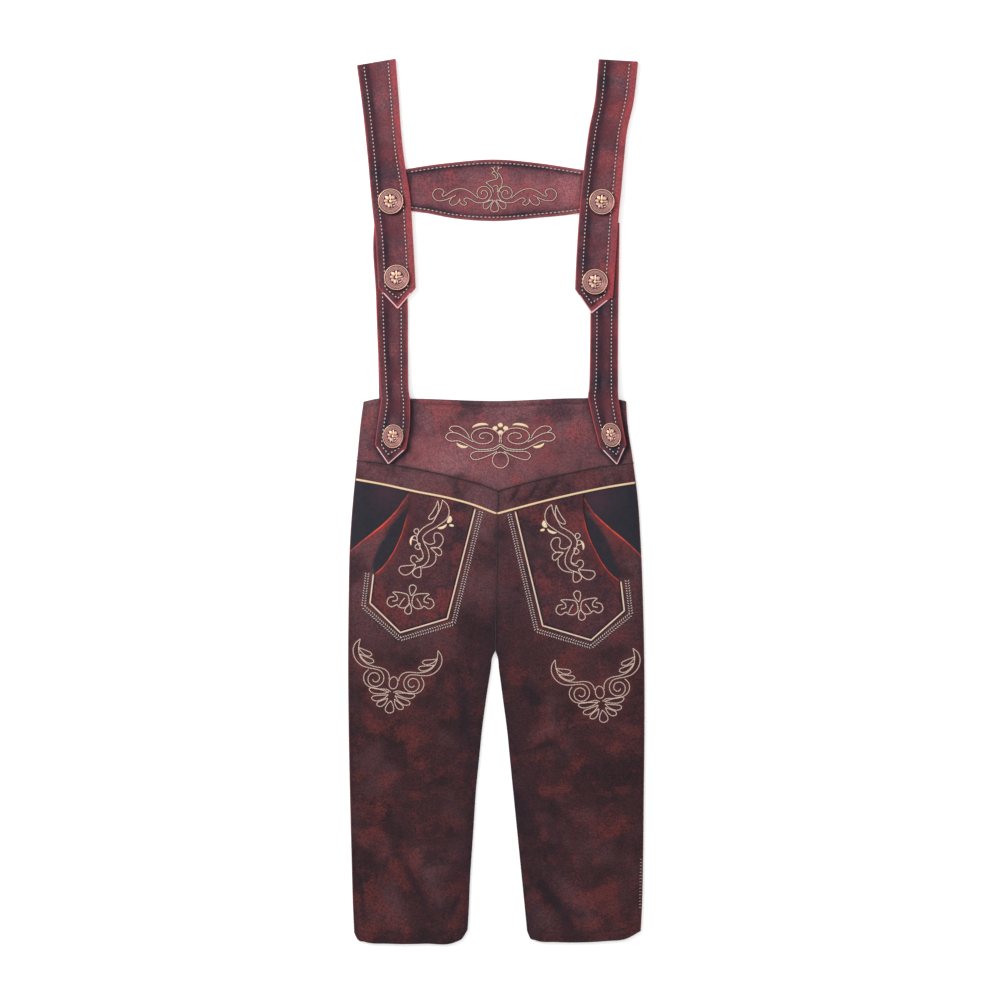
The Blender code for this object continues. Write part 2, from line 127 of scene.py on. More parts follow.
@dataclass(frozen=True)
class Fold:
    """A soft fold of the cloth: a ridge, or a trough if its height is negative."""

    start: Pair
    end: Pair
    height: float
    half_width: float

    def rise(self, x: Array, y: Array) -> Array:
        """Height that the fold adds at each point.

        Args:
            x: places across.
            y: places along.

        Returns:
            The added heights.
        """
        a, b = np.array(self.start), np.array(self.end)
        along = b - a
        share = np.clip(((x - a[0]) * along[0] + (y - a[1]) * along[1]) / (along @ along), 0, 1)
        off = np.hypot(x - a[0] - along[0] * share, y - a[1] - along[1] * share)
        return self.height * (1 - 0.5 * np.abs(2 * share - 1) ** 2) * bell(off, self.half_width)


SIDE_Y = (151, 122, 62, 2, -58, -148, -238, -358, -448, -538, -613, -646)
INSEAM_Y = (-224.6, -230.6, -253, -298, -343, -388, -433, -478, -523, -568, -613, -646)
SIDE_SEAM = {
    Hand.LEFT: Curve(
        SIDE_Y, (-199, -203, -209, -215, -219.4, -221.6, -222.4, -221.3, -219.4, -217.1, -214.9, -213.4),
    ),
    Hand.RIGHT: Curve(
        SIDE_Y, (194.8, 196.5, 205, 212.6, 216.6, 220.2, 222.2, 222.4, 221.4, 220.4, 218.6, 216.8),
    ),
}
INSEAM = {
    Hand.LEFT: Curve(
        INSEAM_Y, (-1.4, -4.6, -8.4, -15.4, -21.4, -25.9, -30.4, -33.4, -36.4, -39.4, -41.2, -43.2),
    ),
    Hand.RIGHT: Curve(INSEAM_Y, (-1.4, 1.1, 4.1, 10.1, 16.1, 20.6, 25.1, 29.6, 34.1, 38.6, 43.1, 46.3)),
}
CENTRE_SEAM = Curve((15.4, CROTCH_Y), (POINT_X, -1.4), True)
WAIST_TOP = Curve((-199, -180, -125, 0, 125, 180, 195), (149.5, 153.6, 153.9, 150.4, 154.6, 153.6, 150))
WAIST_SEAM = {
    Hand.LEFT: Curve((-208, -168, -119, -54, -28, POINT_X), (60.8, 56.6, 48.4, 33.8, 27.2, 15.4)),
    Hand.RIGHT: Curve((POINT_X, 27, 63, 108, 154, 206), (15.4, 22.4, 32.2, 41.9, 51.2, 57.5)),
}
HEM = {
    Hand.LEFT: Curve(
        (-214, -209, -198, -161, -107, -60, -51, -43), (-646, -656.5, -661, -664, -664, -661, -656, -643),
    ),
    Hand.RIGHT: Curve(
        (46, 50, 58, 90, 130, 165, 195, 217), (-644, -654.5, -658.5, -661.5, -662, -660, -656.5, -645),
    ),
}
PIPING = {
    Hand.LEFT: Curve((-213, -168, -119, -70, -38, 0.2), (33.2, 25, 14.3, 4.6, -4.1, -18.4)),
    Hand.RIGHT: Curve((2.2, 30, 76, 125, 174, 211), (-18.4, -10.7, 1.3, 12.7, 22.4, 28.3)),
}
# each button's solid, middle, half width, half height, turn and seat
BUTTONS = (
    ("button_left_1", (-158.2, 449.6), 19.0, 19.0, -4, 7.05),
    ("button_left_2", (-149.2, 335.5), 19.0, 19.0, -3, 7.05),
    ("button_left_3", (-154.7, 97.3), 15.4, 17.8, 7, 8.95),
    ("button_right_1", (158.2, 448.9), 19.0, 19.0, 4, 7.05),
    ("button_right_2", (148.1, 329.0), 19.0, 19.0, 5, 7.05),
    ("button_right_3", (172.3, 99.4), 14.4, 18.2, -13, 8.95),
)


def of_side(table: dict[Hand, Curve], on_left: Array, where: Array) -> Array:
    """The value of each place's own side."""
    return np.where(on_left, table[Hand.LEFT](where), table[Hand.RIGHT](where))


def waist_seam(x: Array) -> Array:
    """Height up the garment of the waistband's pointed lower seam."""
    return of_side(WAIST_SEAM, x < POINT_X, x)


def inner_edge(y: Array, hand: Hand) -> Array:
    """The leg's inner edge: beside the centre seam, and below the crotch the inseam."""
    return np.where(y < CROTCH_Y, INSEAM[hand](y), CENTRE_SEAM(y) + SEAM_GAP / 2 * hand.sign)


def ease(t: Array) -> Array:
    """A smooth step from 0 to 1."""
    t = np.clip(t, 0, 1)
    return t * t * (3 - 2 * t)


def bell(distance: Array, width: float) -> Array:
    """A bell curve, 1 at no distance."""
    return np.exp(-((distance / width) ** 2))


def fade(distance: Array, width: float | Array) -> Array:
    """A shade that dies away with distance."""
    return np.exp(-distance / width)


def rim_rise(distance: Array, run: Array | float) -> Array:
    """Share of the full height that the cloth has at this distance from an edge."""
    return np.sin(np.pi / 2 * np.clip(distance / run, 0, 1))


def deepest(*shades: Array) -> Array:
    """The strongest of several shades at each place, from 0 to 1."""
    return np.clip(np.maximum.reduce(shades), 0, 1)


def unit(vectors: Array) -> Array:
    """The same directions at length 1."""
    return vectors / np.maximum(np.linalg.norm(vectors, axis=-1, keepdims=True), 1e-9)


def turned(points: Array, degrees: float) -> Array:
    """Rows of x and y turned about the origin."""
    c, s = math.cos(math.radians(degrees)), math.sin(math.radians(degrees))
    return points[:, :2] @ np.array([[c, s], [-s, c]])


def lengths_along(line: Array) -> Array:
    """How far along a line each of its points is."""
    return np.concatenate([[0], np.cumsum(np.linalg.norm(np.diff(line, axis=0), axis=1))])


def read_along(line: Array, along: Array, at: Array) -> Array:
    """A line's places at distances along it."""
    return np.stack([np.interp(at, along, column) for column in line.T], axis=1)


def nearest(points: Array, places: Array) -> tuple[Array, Array]:
    """Finds the point that is nearest to each place.

    Args:
        points: the points to choose from, as rows of two or three numbers.
        places: the places, as rows of the same kind.

    Returns:
        The points' numbers and their distances.
    """
    rows, asked = (np.pad(array, ((0, 0), (0, 3 - array.shape[1]))) for array in (points, places))
    tree = KDTree(len(rows))
    for i, row in enumerate(rows):
        tree.insert(row, i)
    tree.balance()
    found = np.array([tree.find(place)[1:] for place in asked]).reshape(-1, 2)
    return found[:, 0].astype(int), found[:, 1]


def far_from(points: Array, line: Sequence[Pair]) -> Array:
    """Signed distance from an open line.

    Args:
        points: rows of x and y.
        line: the line's points.

    Returns:
        The distances, positive to the line's left as it runs.
    """
    best, signed = np.full(len(points), 1e9), np.zeros(len(points))
    for a, b in zip(np.array(line[:-1], float), np.array(line[1:], float)):
        along = b - a
        t = np.clip(((points - a) @ along) / (along @ along), 0, 1)
        distance = np.hypot(*(points - a - t[:, None] * along).T)
        turn = along[0] * (points[:, 1] - a[1]) - along[1] * (points[:, 0] - a[0])
        near = distance < best
        signed = np.where(near, np.sign(turn) * distance, signed)
        best = np.where(near, distance, best)
    return signed


def smooth_line(points: Sequence[Sequence[float]] | Array, per_span: int = 10) -> Array:
    """A rounded line through points.

    Args:
        points: the points that it goes through.
        per_span: the steps from one point to the next.

    Returns:
        The line's points.
    """
    p = np.array(points, float)
    p = np.vstack([2 * p[0] - p[1], p, 2 * p[-1] - p[-2]])
    t = np.linspace(0, 1, per_span, endpoint=False)[:, None]
    out = [
        0.5 * (2 * b + (c - a) * t + (2 * a - 5 * b + 4 * c - d) * t**2 + (3 * b - a - 3 * c + d) * t**3)
        for a, b, c, d in zip(p, p[1:], p[2:], p[3:])
    ]
    return np.vstack([*out, p[-2:-1]])


def walk(line: Array, pitch: float) -> tuple[Array, Array]:
    """Even stations along a line.

    Args:
        line: its points, in two or three dimensions.
        pitch: about how far apart the stations are.

    Returns:
        The stations' places and the line's direction at each.
    """
    along = lengths_along(line)
    count = max(1, round(along[-1] / pitch))
    at = (np.arange(count) + 0.5) * along[-1] / count
    ahead = read_along(line, along, np.minimum(at + 0.4, along[-1]))
    return read_along(line, along, at), unit(ahead - read_along(line, along, np.maximum(at - 0.4, 0)))


def beside(line: Sequence[Pair], offset: float) -> list[Pair]:
    """A line that runs beside another, as one edge of a stem does."""
    points = smooth_line(line, 3)
    return (points + turned(unit(np.gradient(points, axis=0)), 90) * offset).tolist()


@dataclass(frozen=True)
class FrontForm:
    """The height of the front's cloth as it lies over the back."""

    waist_rise: float = 3.0
    leg_rise: float = 1.7
    fade_from: float = 20.0
    fade_to: float = -100.0
    edge_run: float = 26.0
    waist_edge_run: float = 18.0
    hem_run: float = 34.0
    hem_drop: float = 0.45
    hem_y: float = -664.0
    hem_depth: float = 15.0
    top_stitch: float = 7.5
    folds: tuple[Fold, ...] = (
        Fold((52, -552), (116, -642), -1.4, 9),
        Fold((74, -545), (150, -640), 1.9, 15),
        Fold((52, -590), (88, -648), 1.6, 13),
        Fold((52, -362), (112, -326), 1.8, 11),
        Fold((44, -378), (96, -358), -1.2, 9),
        Fold((-146, -528), (-98, -622), -1.3, 11),
        Fold((-120, -528), (-74, -622), 1.8, 14),
        Fold((-76, -640), (-46, -570), -1.2, 8),
        Fold((-92, -560), (-52, -520), 1.4, 13),
        Fold((-170, -560), (-142, -640), 1.0, 16),
        Fold((18, -5), (37, 25), -0.9, 4.5),
        Fold((32, -3), (50, 27), 0.9, 5.0),
        Fold((45, -2), (64, 29), -0.9, 4.5),
        Fold((62, 2), (79, 31), 0.7, 5.0),
        Fold((80, 14), (93, 35), -0.8, 4.0),
        Fold((-198, -640), (-205, -545), -0.7, 6),
        Fold((-1, -150), (-1, -236), -1.5, 10),
        Fold((36, -262), (70, -318), -1.0, 16),
        Fold((-52, -250), (-44, -380), -0.8, 14),
    )

    def ripple(self, x: Array, y: Array) -> Array:
        """The slack cloth's slow waves, and its puckers beside the seams.

        Args:
            x: places across.
            y: places along.

        Returns:
            The added heights.
        """
        slow = 0.20 * np.sin(x / 17 + y / 41 + 1.1) + 0.16 * np.sin(y / 23 - x / 37 + 0.4)
        slow = slow + 0.10 * np.sin(x / 7.3 - y / 19 + 2.0) * np.sin(y / 47 + 0.7)
        centre = np.abs(x - CENTRE_SEAM(y))
        pucker = 0.22 * np.sin(y / 2.6) * bell(centre, 5) * (y > CROTCH_Y) * (y < 15)
        return slow + pucker + 0.16 * np.sin(x / 2.9) * bell(y - waist_seam(x), 4.5)

    def seams(self, x: Array, y: Array) -> Array:
        """Grooves where a turned edge is stitched down, at the hem and under the waist's top.

        Args:
            x: places across.
            y: places along.

        Returns:
            The added heights.
        """
        hem = y - of_side(HEM, x < 0, x) - self.hem_depth
        groove = -0.42 * bell(hem, 1.6) - 0.34 * bell(WAIST_TOP(x) - y - self.top_stitch, 1.5)
        return groove + 0.2 * np.sin(x / 3.1) * bell(hem, 7)

    def top(self, x: Array, y: Array) -> Array:
        """Height of the front's outer face at each place.

        Args:
            x: places across.
            y: places along.

        Returns:
            The heights.
        """
        waist = ease((y - self.fade_to) / (self.fade_from - self.fade_to))
        rise = self.leg_rise + (self.waist_rise - self.leg_rise) * waist
        on_left = x < CENTRE_SEAM(y)
        inner = np.where(on_left, inner_edge(y, Hand.LEFT), inner_edge(y, Hand.RIGHT))
        run = self.edge_run + (self.waist_edge_run - self.edge_run) * waist
        share = rim_rise(np.abs(x - of_side(SIDE_SEAM, on_left, y)), run)
        below = ease((CROTCH_Y - y) / self.edge_run)
        share = share * (1 - below * (1 - rim_rise(np.abs(x - inner), self.edge_run)))
        hem = 1 - self.hem_drop * (1 - rim_rise(y - self.hem_y, self.hem_run))
        relief = rise + sum(fold.rise(x, y) for fold in self.folds) + self.ripple(x, y) + self.seams(x, y)
        return RIM_TOP + np.maximum(relief * share * hem, 0)


FORM = FrontForm()


def on_top(top: Callable, xy: Array) -> Array:
    """Flat places raised to a surface."""
    return np.column_stack([xy, top(xy[:, 0], xy[:, 1])])


@dataclass
class Grid:
    """A piece of cloth as rows and columns of points on its middle, and the same points laid out flat."""

    middle: Array
    flat: Array
    thickness: float

    @property
    def outline(self) -> Array:
        """The flat points all round the edge."""
        f = self.flat
        return np.concatenate([f[0], f[1:, -1], f[-1, -2::-1], f[-2:0:-1, 0]])

    def edge_distance(self) -> Array:
        """How far each point is from the piece's edge, measured on the flat cut.

        Returns:
            The distances, over the grid.
        """
        ends = np.roll(self.outline, -1, axis=0)
        fine = np.concatenate([np.linspace(a, b, 4)[:-1] for a, b in zip(self.outline, ends)])
        return nearest(fine, self.flat.reshape(-1, 2))[1].reshape(self.flat.shape[:2])

    def normals(self) -> Array:
        """Unit normals of the middle at each point."""
        return unit(np.cross(np.gradient(self.middle, axis=1), -np.gradient(self.middle, axis=0)))


def stations(length: float, step: float) -> Array:
    """Shares along a length, from 0 to 1, at even steps with finer ones at both rims.

    Args:
        length: the length.
        step: about how far apart the points are.

    Returns:
        The shares.
    """
    rim = np.array((0.0, 0.22, 0.6, 1.2))
    body = np.linspace(2.4, length - 2.4, max(2, round((length - 4.8) / step) + 1))
    return np.concatenate([rim, body, length - rim[::-1]]) / length


def between(sides: Sequence[Callable], ends: Sequence[Callable], size: Pair, step: float) -> Array:
    """Lays a flat panel between its edges.

    Args:
        sides: the left and the right edge's x for a y.
        ends: the head's and the foot's y for an x.
        size: about how wide and how long the panel is.
        step: the distance between its points.

    Returns:
        Rows and columns of (x, y).
    """
    left, right = sides
    u, v = stations(size[0], step), stations(size[1], step)
    lines = []
    for curve in ends:
        y = curve(np.zeros_like(u))
        for _ in range(10):
            y = curve(left(y) + (right(y) - left(y)) * u)
        lines.append(y)
    y = lines[0] + (lines[1] - lines[0]) * v[:, None]
    return np.stack([left(y) + (right(y) - left(y)) * u, y], axis=2)


def panel(flat: Array, top: Callable, thickness: float) -> Grid:
    """A panel whose outer face has the given heights."""
    return Grid(np.dstack([flat, top(flat[..., 0], flat[..., 1]) - thickness / 2]), flat, thickness)


def back_top(x: Array, y: Array) -> Array:
    """Height of the back's upper face, which lies flat."""
    return np.full_like(x, CLOTH)


def make_piece(name: str, bm: bmesh.types.BMesh) -> Object:
    """Turns a mesh that is ready into a smooth object of the scene.

    Args:
        name: the piece's name.
        bm: its mesh, which is freed.

    Returns:
        The object.
    """
    mesh = bpy.data.meshes.new(name)
    bm.to_mesh(mesh)
    bm.free()
    mesh.shade_smooth()
    obj = bpy.data.objects.new(name, mesh)
    bpy.context.scene.collection.objects.link(obj)
    return obj


def paint(obj: Object, name: str, values: Array) -> None:
    """Writes one number for each vertex of a piece."""
    layer = obj.data.attributes.get(name) or obj.data.attributes.new(name, "FLOAT", "POINT")
    layer.data.foreach_set("value", np.asarray(values, np.float32).ravel())


def vertex_places(obj: Object) -> Array:
    """A piece's vertices, in metres.

    Args:
        obj: the piece.

    Returns:
        Rows of (x, y, z).
    """
    co = np.zeros(len(obj.data.vertices) * 3)
    obj.data.vertices.foreach_get("co", co)
    return co.reshape(-1, 3)


def slab(name: str, grid: Grid) -> Object:
    """Makes a closed wall of cloth with a rounded rim.

    Args:
        name: the piece's name.
        grid: the cloth's middle.

    Returns:
        The new object, with its distance from the edge in the attribute "edge".
    """
    rows, columns = grid.middle.shape[:2]
    bm = bmesh.new()
    bmesh.ops.create_grid(bm, x_segments=columns - 1, y_segments=rows - 1, size=0.5)
    below = bmesh.ops.extrude_face_region(bm, geom=bm.faces[:])["geom"]
    lower = [item for item in below if isinstance(item, bmesh.types.BMVert)]
    bmesh.ops.translate(bm, vec=(0, 0, -1), verts=lower)
    bmesh.ops.recalc_face_normals(bm, faces=bm.faces)
    obj = make_piece(name, bm)
    square = vertex_places(obj)
    i = np.round((0.5 - square[:, 1]) * (rows - 1)).astype(int)
    j = np.round((square[:, 0] + 0.5) * (columns - 1)).astype(int)
    edge = grid.edge_distance()
    radius = grid.thickness / 2
    near = np.clip(edge / radius, 0, 1)
    half = radius * (0.12 + 0.88 * np.sqrt(1 - (1 - near) ** 2))
    offset = grid.normals() * half[..., None]
    side = np.where(square[:, 2] < -0.5, -1.0, 1.0)[:, None]
    places = grid.middle[i, j] + offset[i, j] * side
    obj.data.vertices.foreach_set("co", (places * MM).ravel())
    obj.data.update()
    paint(obj, "edge", edge[i, j])
    return obj


class Nodes:
    """Builds a node tree in a few words a node."""

    def __init__(self, tree: Tree) -> None:
        """Starts on a tree."""
        self.tree = tree

    def fill(self, node: bpy.types.Node, values: dict) -> bpy.types.Node:
        """Sets a node's inputs, by name or number, to values or links them from sockets.

        Args:
            node: the node.
            values: what each input is set to or linked from.

        Returns:
            The same node.
        """
        for key, value in values.items():
            if isinstance(value, Socket):
                self.tree.links.new(value, node.inputs[key])
            else:
                node.inputs[key].default_value = value
        return node

    def add(self, kind: str, values: dict | None = None, **settings: object) -> bpy.types.Node:
        """Adds a node.

        Args:
            kind: the node type's name without its ShaderNode prefix.
            values: what its inputs are set to or linked from.
            settings: the node's own properties.

        Returns:
            The node.
        """
        node = self.tree.nodes.new(kind if kind.startswith("Node") else f"ShaderNode{kind}")
        for key, value in settings.items():
            setattr(node, key, value)
        return self.fill(node, values or {})

    def math(self, operation: str, a: object, b: object = 0.0, clamp: bool = False) -> Socket:
        """The result of a Math node."""
        return self.add("Math", {0: a, 1: b}, operation=operation, use_clamp=clamp).outputs[0]

    def plus(self, a: object, b: object, clamp: bool = False) -> Socket:
        """The sum of two values."""
        return self.math("ADD", a, b, clamp)

    def times(self, a: object, b: object, clamp: bool = False) -> Socket:
        """The product of two values."""
        return self.math("MULTIPLY", a, b, clamp)

    def ramp(self, value: Socket, low: float, high: float, start: float = 0.0, end: float = 1.0) -> Socket:
        """A smooth step from start to end, as a value goes from low to high."""
        numbers = {"Value": value, "From Min": low, "From Max": high, "To Min": start, "To Max": end}
        return self.add("MapRange", numbers, interpolation_type="SMOOTHSTEP").outputs[0]

    def mix(self, share: object, a: object, b: object, blend: str = "MIX") -> Socket:
        """The colour of a Mix node."""
        return self.add("Mix", {0: share, 6: a, 7: b}, data_type="RGBA", blend_type=blend).outputs[2]

    def place(self) -> Socket:
        """Object coordinates."""
        return self.add("TexCoord").outputs["Object"]

    def noise(self, size: float, detail: float, rough: float, seed: float) -> Socket:
        """A noise whose features are about the given size in millimetres.

        Args:
            size: the features' size.
            detail: how many finer layers it has.
            rough: how strong the finer layers are.
            seed: a number that moves it elsewhere.

        Returns:
            The noise.
        """
        shift = (seed * 91.0, seed * 53.0, seed * 17.0)
        moved = self.add("VectorMath", {0: self.place(), 1: shift}, operation="ADD").outputs[0]
        values = {"Vector": moved, "Scale": 1 / (size * MM), "Detail": detail, "Roughness": rough}
        return self.add("TexNoise", values).outputs[0]

    def attribute(self, name: str) -> Socket:
        """One of the piece's painted numbers."""
        return self.add("Attribute", attribute_name=name).outputs["Fac"]

    def group(self, tree: Tree, values: dict) -> bpy.types.NodeOutputs:
        """The outputs of a shared group."""
        return self.add("Group", values, node_tree=tree).outputs

    def bump(self, height: Socket, strength: float, distance: float) -> Socket:
        """A normal bent by a height, with its distance in metres."""
        return self.add("Bump", {"Height": height, "Strength": strength, "Distance": distance}).outputs[0]


def colour(ink: Ink) -> tuple[float, ...]:
    """A screen colour from 0 to 255 as the linear colour that a shader takes."""
    linear = [c / 255 / 12.92 if c <= 10 else ((c / 255 + 0.055) / 1.055) ** 2.4 for c in ink]
    return (*linear, 1.0)


def new_group(name: str, inputs: dict, outputs: dict[str, str]) -> tuple[Nodes, Sequence, bpy.types.Node]:
    """Starts a shader node group.

    Args:
        name: the group's name.
        inputs: each input's default, a colour or a number, by its name.
        outputs: each output's kind by its name.

    Returns:
        The group's builder, its inputs by name, and its output node.
    """
    group = bpy.data.node_groups.new(name, "ShaderNodeTree")
    for label, default in inputs.items():
        kind = "NodeSocketColor" if isinstance(default, tuple) else "NodeSocketFloat"
        group.interface.new_socket(label, in_out="INPUT", socket_type=kind).default_value = default
    for label, kind in outputs.items():
        group.interface.new_socket(label, in_out="OUTPUT", socket_type=f"NodeSocket{kind}")
    n = Nodes(group)
    return n, n.add("NodeGroupInput").outputs, n.add("NodeGroupOutput")


class Effects:
    """The shader groups that several finishes share."""

    def __init__(self) -> None:
        """Builds the groups once."""
        self.suede = self._suede()
        self.spray = self._spray()
        self.nap = self._nap()
        self.twist = self._twist()

    def sprayed(self, n: Nodes, mask: Socket, breakup: float) -> Socket:
        """A mask that is broken up at its edge."""
        return n.group(self.spray, {"Mask": mask, "Breakup": breakup})["Mask"]

    @staticmethod
    def _suede() -> Tree:
        """Mottled print: a tone with feathered rust and charcoal blotches, and a fine two-tone speckle, paled
        where the lift mask asks, which also carries painted highlights.

        Returns:
            The group.
        """
        inputs = {name: (0.1, 0.05, 0.05, 1) for name in ("Tone", "Red", "Dark", "Pale")}
        inputs |= {name: 0.5 for name in ("Redness", "Darkness", "Grain", "Lift")}
        n, given, out = new_group("Suede print", inputs, {"Color": "Color", "Light": "Color"})
        fine = n.noise(3.6, 3, 0.75, 3)
        fuzz = n.times(n.math("SUBTRACT", fine, 0.5), 0.3)
        broad = n.ramp(n.plus(n.noise(46, 3, 0.5, 1), fuzz), 0.5, 0.68)
        small = n.ramp(n.plus(n.noise(24, 3, 0.55, 2), fuzz), 0.52, 0.72)
        red = n.math("MAXIMUM", broad, n.times(small, 0.65))
        dark = n.ramp(n.plus(n.noise(60, 4, 0.58, 5), fuzz), 0.45, 0.62)
        lift = n.plus(given["Lift"], n.ramp(n.noise(55, 3, 0.5, 6), 0.48, 0.72, 0.0, 0.26), True)
        ruddy = n.mix(n.times(lift, 0.42), given["Red"], given["Pale"])
        shown = n.mix(lift, given["Tone"], given["Pale"])
        shown = n.mix(n.times(dark, given["Darkness"]), shown, given["Dark"])
        shown = n.mix(n.times(red, given["Redness"]), shown, ruddy)
        grit = n.plus(n.times(n.noise(1.9, 2, 0.65, 4), 0.6), n.times(fine, 0.4))
        weak = n.ramp(grit, 0.36, 0.64, 0.6, 1.42)
        light = n.add("CombineColor", {0: n.ramp(grit, 0.36, 0.64, 0.52, 1.52), 1: weak, 2: weak}).outputs[0]
        speckled = n.mix(1.0, shown, light, "MULTIPLY")
        n.fill(out, {"Light": light, "Color": n.mix(given["Grain"], shown, speckled)})
        return n.tree

    @staticmethod
    def _spray() -> Tree:
        """A soft mask broken up at its edge, as sprayed ink is.

        Returns:
            The group.
        """
        n, given, out = new_group("Sprayed edge", {"Mask": 0.0, "Breakup": 0.6}, {"Mask": "Float"})
        grain = n.plus(n.times(n.noise(2.4, 3, 0.7, 7), 0.6), n.times(n.noise(13, 3, 0.6, 8), 0.4))
        moved = n.times(n.math("SUBTRACT", grain, 0.5), n.times(given["Breakup"], 2.6))
        held = n.times(moved, n.ramp(given["Mask"], 0.0, 0.35))
        n.fill(out, {"Mask": n.plus(given["Mask"], held, True)})
        return n.tree

    @staticmethod
    def _nap() -> Tree:
        """Height of a brushed knit: a short pile over faint courses.

        Returns:
            The group.
        """
        n, given, out = new_group("Brushed nap", {"Pitch": 1.1}, {"Height": "Float", "Rough": "Float"})
        across, along, _ = n.add("SeparateXYZ", {0: n.place()}).outputs
        turns = n.math("DIVIDE", math.tau / MM, given["Pitch"])
        rows = n.math("SINE", n.times(n.plus(across, along), turns))
        wales = n.math("SINE", n.times(n.math("SUBTRACT", across, along), turns))
        pile = n.plus(n.noise(0.9, 3, 0.7, 9), n.times(n.noise(5.5, 2, 0.5, 10), 0.8))
        height = n.plus(n.times(n.times(rows, wales), 0.16), pile)
        n.fill(out, {"Height": height, "Rough": n.ramp(n.noise(7, 3, 0.6, 11), 0.3, 0.7, 0.72, 0.95)})
        return n.tree

    @staticmethod
    def _twist() -> Tree:
        """Fine plies of twisted yarn, as a mask of its hollows.

        Returns:
            The group.
        """
        n, given, out = new_group("Yarn twist", {"Pitch": 0.8}, {"Hollow": "Float"})
        across, along, up = n.add("SeparateXYZ", {0: n.place()}).outputs
        lean = n.plus(n.plus(n.times(across, 1.3), along), up)
        ply = n.math("SINE", n.times(lean, n.math("DIVIDE", math.tau / MM, given["Pitch"])))
        worn = n.plus(n.times(ply, 0.3), n.times(n.noise(1.4, 2, 0.6, 12), 0.8))
        n.fill(out, {"Hollow": n.ramp(worn, 0.2, 0.75)})
        return n.tree


@dataclass(frozen=True)
class Finish:
    """A finish of the garment or the studio."""

    name: str

    def inputs(self, n: Nodes, effects: Effects) -> dict:
        """What the shader's inputs are set to or linked from."""
        raise NotImplementedError

    def build(self, effects: Effects | None = None) -> bpy.types.Material:
        """Makes the material from the shared groups.

        Args:
            effects: the shared groups.

        Returns:
            The material.
        """
        material = bpy.data.materials.new(self.name)
        material.use_nodes = True
        n = Nodes(material.node_tree)
        n.fill(n.tree.nodes["Principled BSDF"], self.inputs(n, effects))
        return material


@dataclass(frozen=True)
class ClothFinish(Finish):
    """Suede-look cloth with its sprayed print, its painted shade and its painted highlights: all colours are
    screen colours.
    """

    tone: Ink
    red: Ink
    dark: Ink
    pale: Ink = (88, 57, 63)
    redness: float = 0.8
    darkness: float = 0.8
    grain: float = 0.9
    wash: Ink = (112, 44, 46)
    # the airbrushed print's dark, which also paints shade in creases, grooves and under parts
    air: Ink = (36, 28, 37)
    ink: Ink = (43, 41, 49)
    faded: Ink = (66, 46, 56)
    ember: Ink = (230, 88, 64)
    glow: Ink = (160, 50, 46)
    rosy: Ink = (160, 68, 74)
    rim: Ink = (184, 74, 76)
    tip_highlight: Ink = (244, 206, 210)
    # painted highlight on the edges near the strap tips

    def inputs(self, n: Nodes, effects: Effects) -> dict:
        """Lays the print from the mottled ground up to the glowing edges, with the painted shade and the
        painted highlights, over the nap.

        Args:
            n: the builder of the material's tree.
            effects: the shared groups.

        Returns:
            The values and sockets, by the inputs' names.
        """
        tones = {"Tone": self.tone, "Red": self.red, "Dark": self.dark, "Pale": self.pale}
        shares = {"Redness": self.redness, "Darkness": self.darkness, "Grain": self.grain}
        values = {name: colour(ink) for name, ink in tones.items()} | shares
        suede = n.group(effects.suede, values | {"Lift": n.attribute("lift")})
        shown = suede["Color"]
        # wash and rosy are print; the third mask is airbrushed print together with painted shade; hollow is
        # painted shade inside the pocket's mouth
        for name, ink, breakup in (
            ("wash", self.wash, 0.6), ("air", self.air, 0.45), ("rosy", self.rosy, 0.6),
            ("hollow", self.ink, 0.5),
        ):
            shown = n.mix(effects.sprayed(n, n.attribute(name), breakup), shown, colour(ink))
        black = n.mix(effects.sprayed(n, n.attribute("thin"), 0.7), colour(self.ink), colour(self.faded))
        shown = n.mix(n.ramp(n.attribute("hip"), -0.5, 0.4), shown, black)
        off, edge, rim = (n.attribute(name) for name in ("ember", "edge", "rim"))
        burn = n.times(n.attribute("burn"), n.ramp(n.noise(8, 3, 0.6, 15), 0.35, 0.6, 0.55, 1.05))
        haze = n.times(n.ramp(off, 0.0, 11.0, 0.62, 0.0), n.times(burn, burn))
        haze = effects.sprayed(n, n.times(haze, n.ramp(off, -0.6, 0.2)), 0.6)
        shown = n.mix(haze, shown, colour(self.glow))
        mottled = n.mix(1.0, shown, suede["Light"], "MULTIPLY")
        shown = n.mix(n.times(n.attribute("rosy"), 0.9, True), shown, mottled)
        shown = n.mix(n.ramp(edge, 0.25, 1.5, 0.6, 0.0), shown, colour(self.air))
        line = n.times(n.ramp(off, -0.7, 0.1), n.ramp(off, 0.5, 2.3, 1.0, 0.0))
        shown = n.mix(n.times(line, burn, True), shown, colour(self.ember))
        # the rim colour along the edges, and where the rim mask passes 1 a painted highlight
        trim = n.mix(n.ramp(rim, 1.0, 1.6), colour(self.rim), colour(self.tip_highlight))
        shown = n.mix(n.times(n.ramp(edge, 0.7, 2.0, 1.0, 0.0), rim, True), shown, trim)
        nap = n.group(effects.nap, {"Pitch": 1.1})
        return {
            "Base Color": shown, "Normal": n.bump(nap["Height"], 0.4, 0.5 * MM), "Roughness": nap["Rough"],
            "Sheen Weight": 0.03, "Sheen Roughness": 0.5, "Specular IOR Level": 0.16,
        }


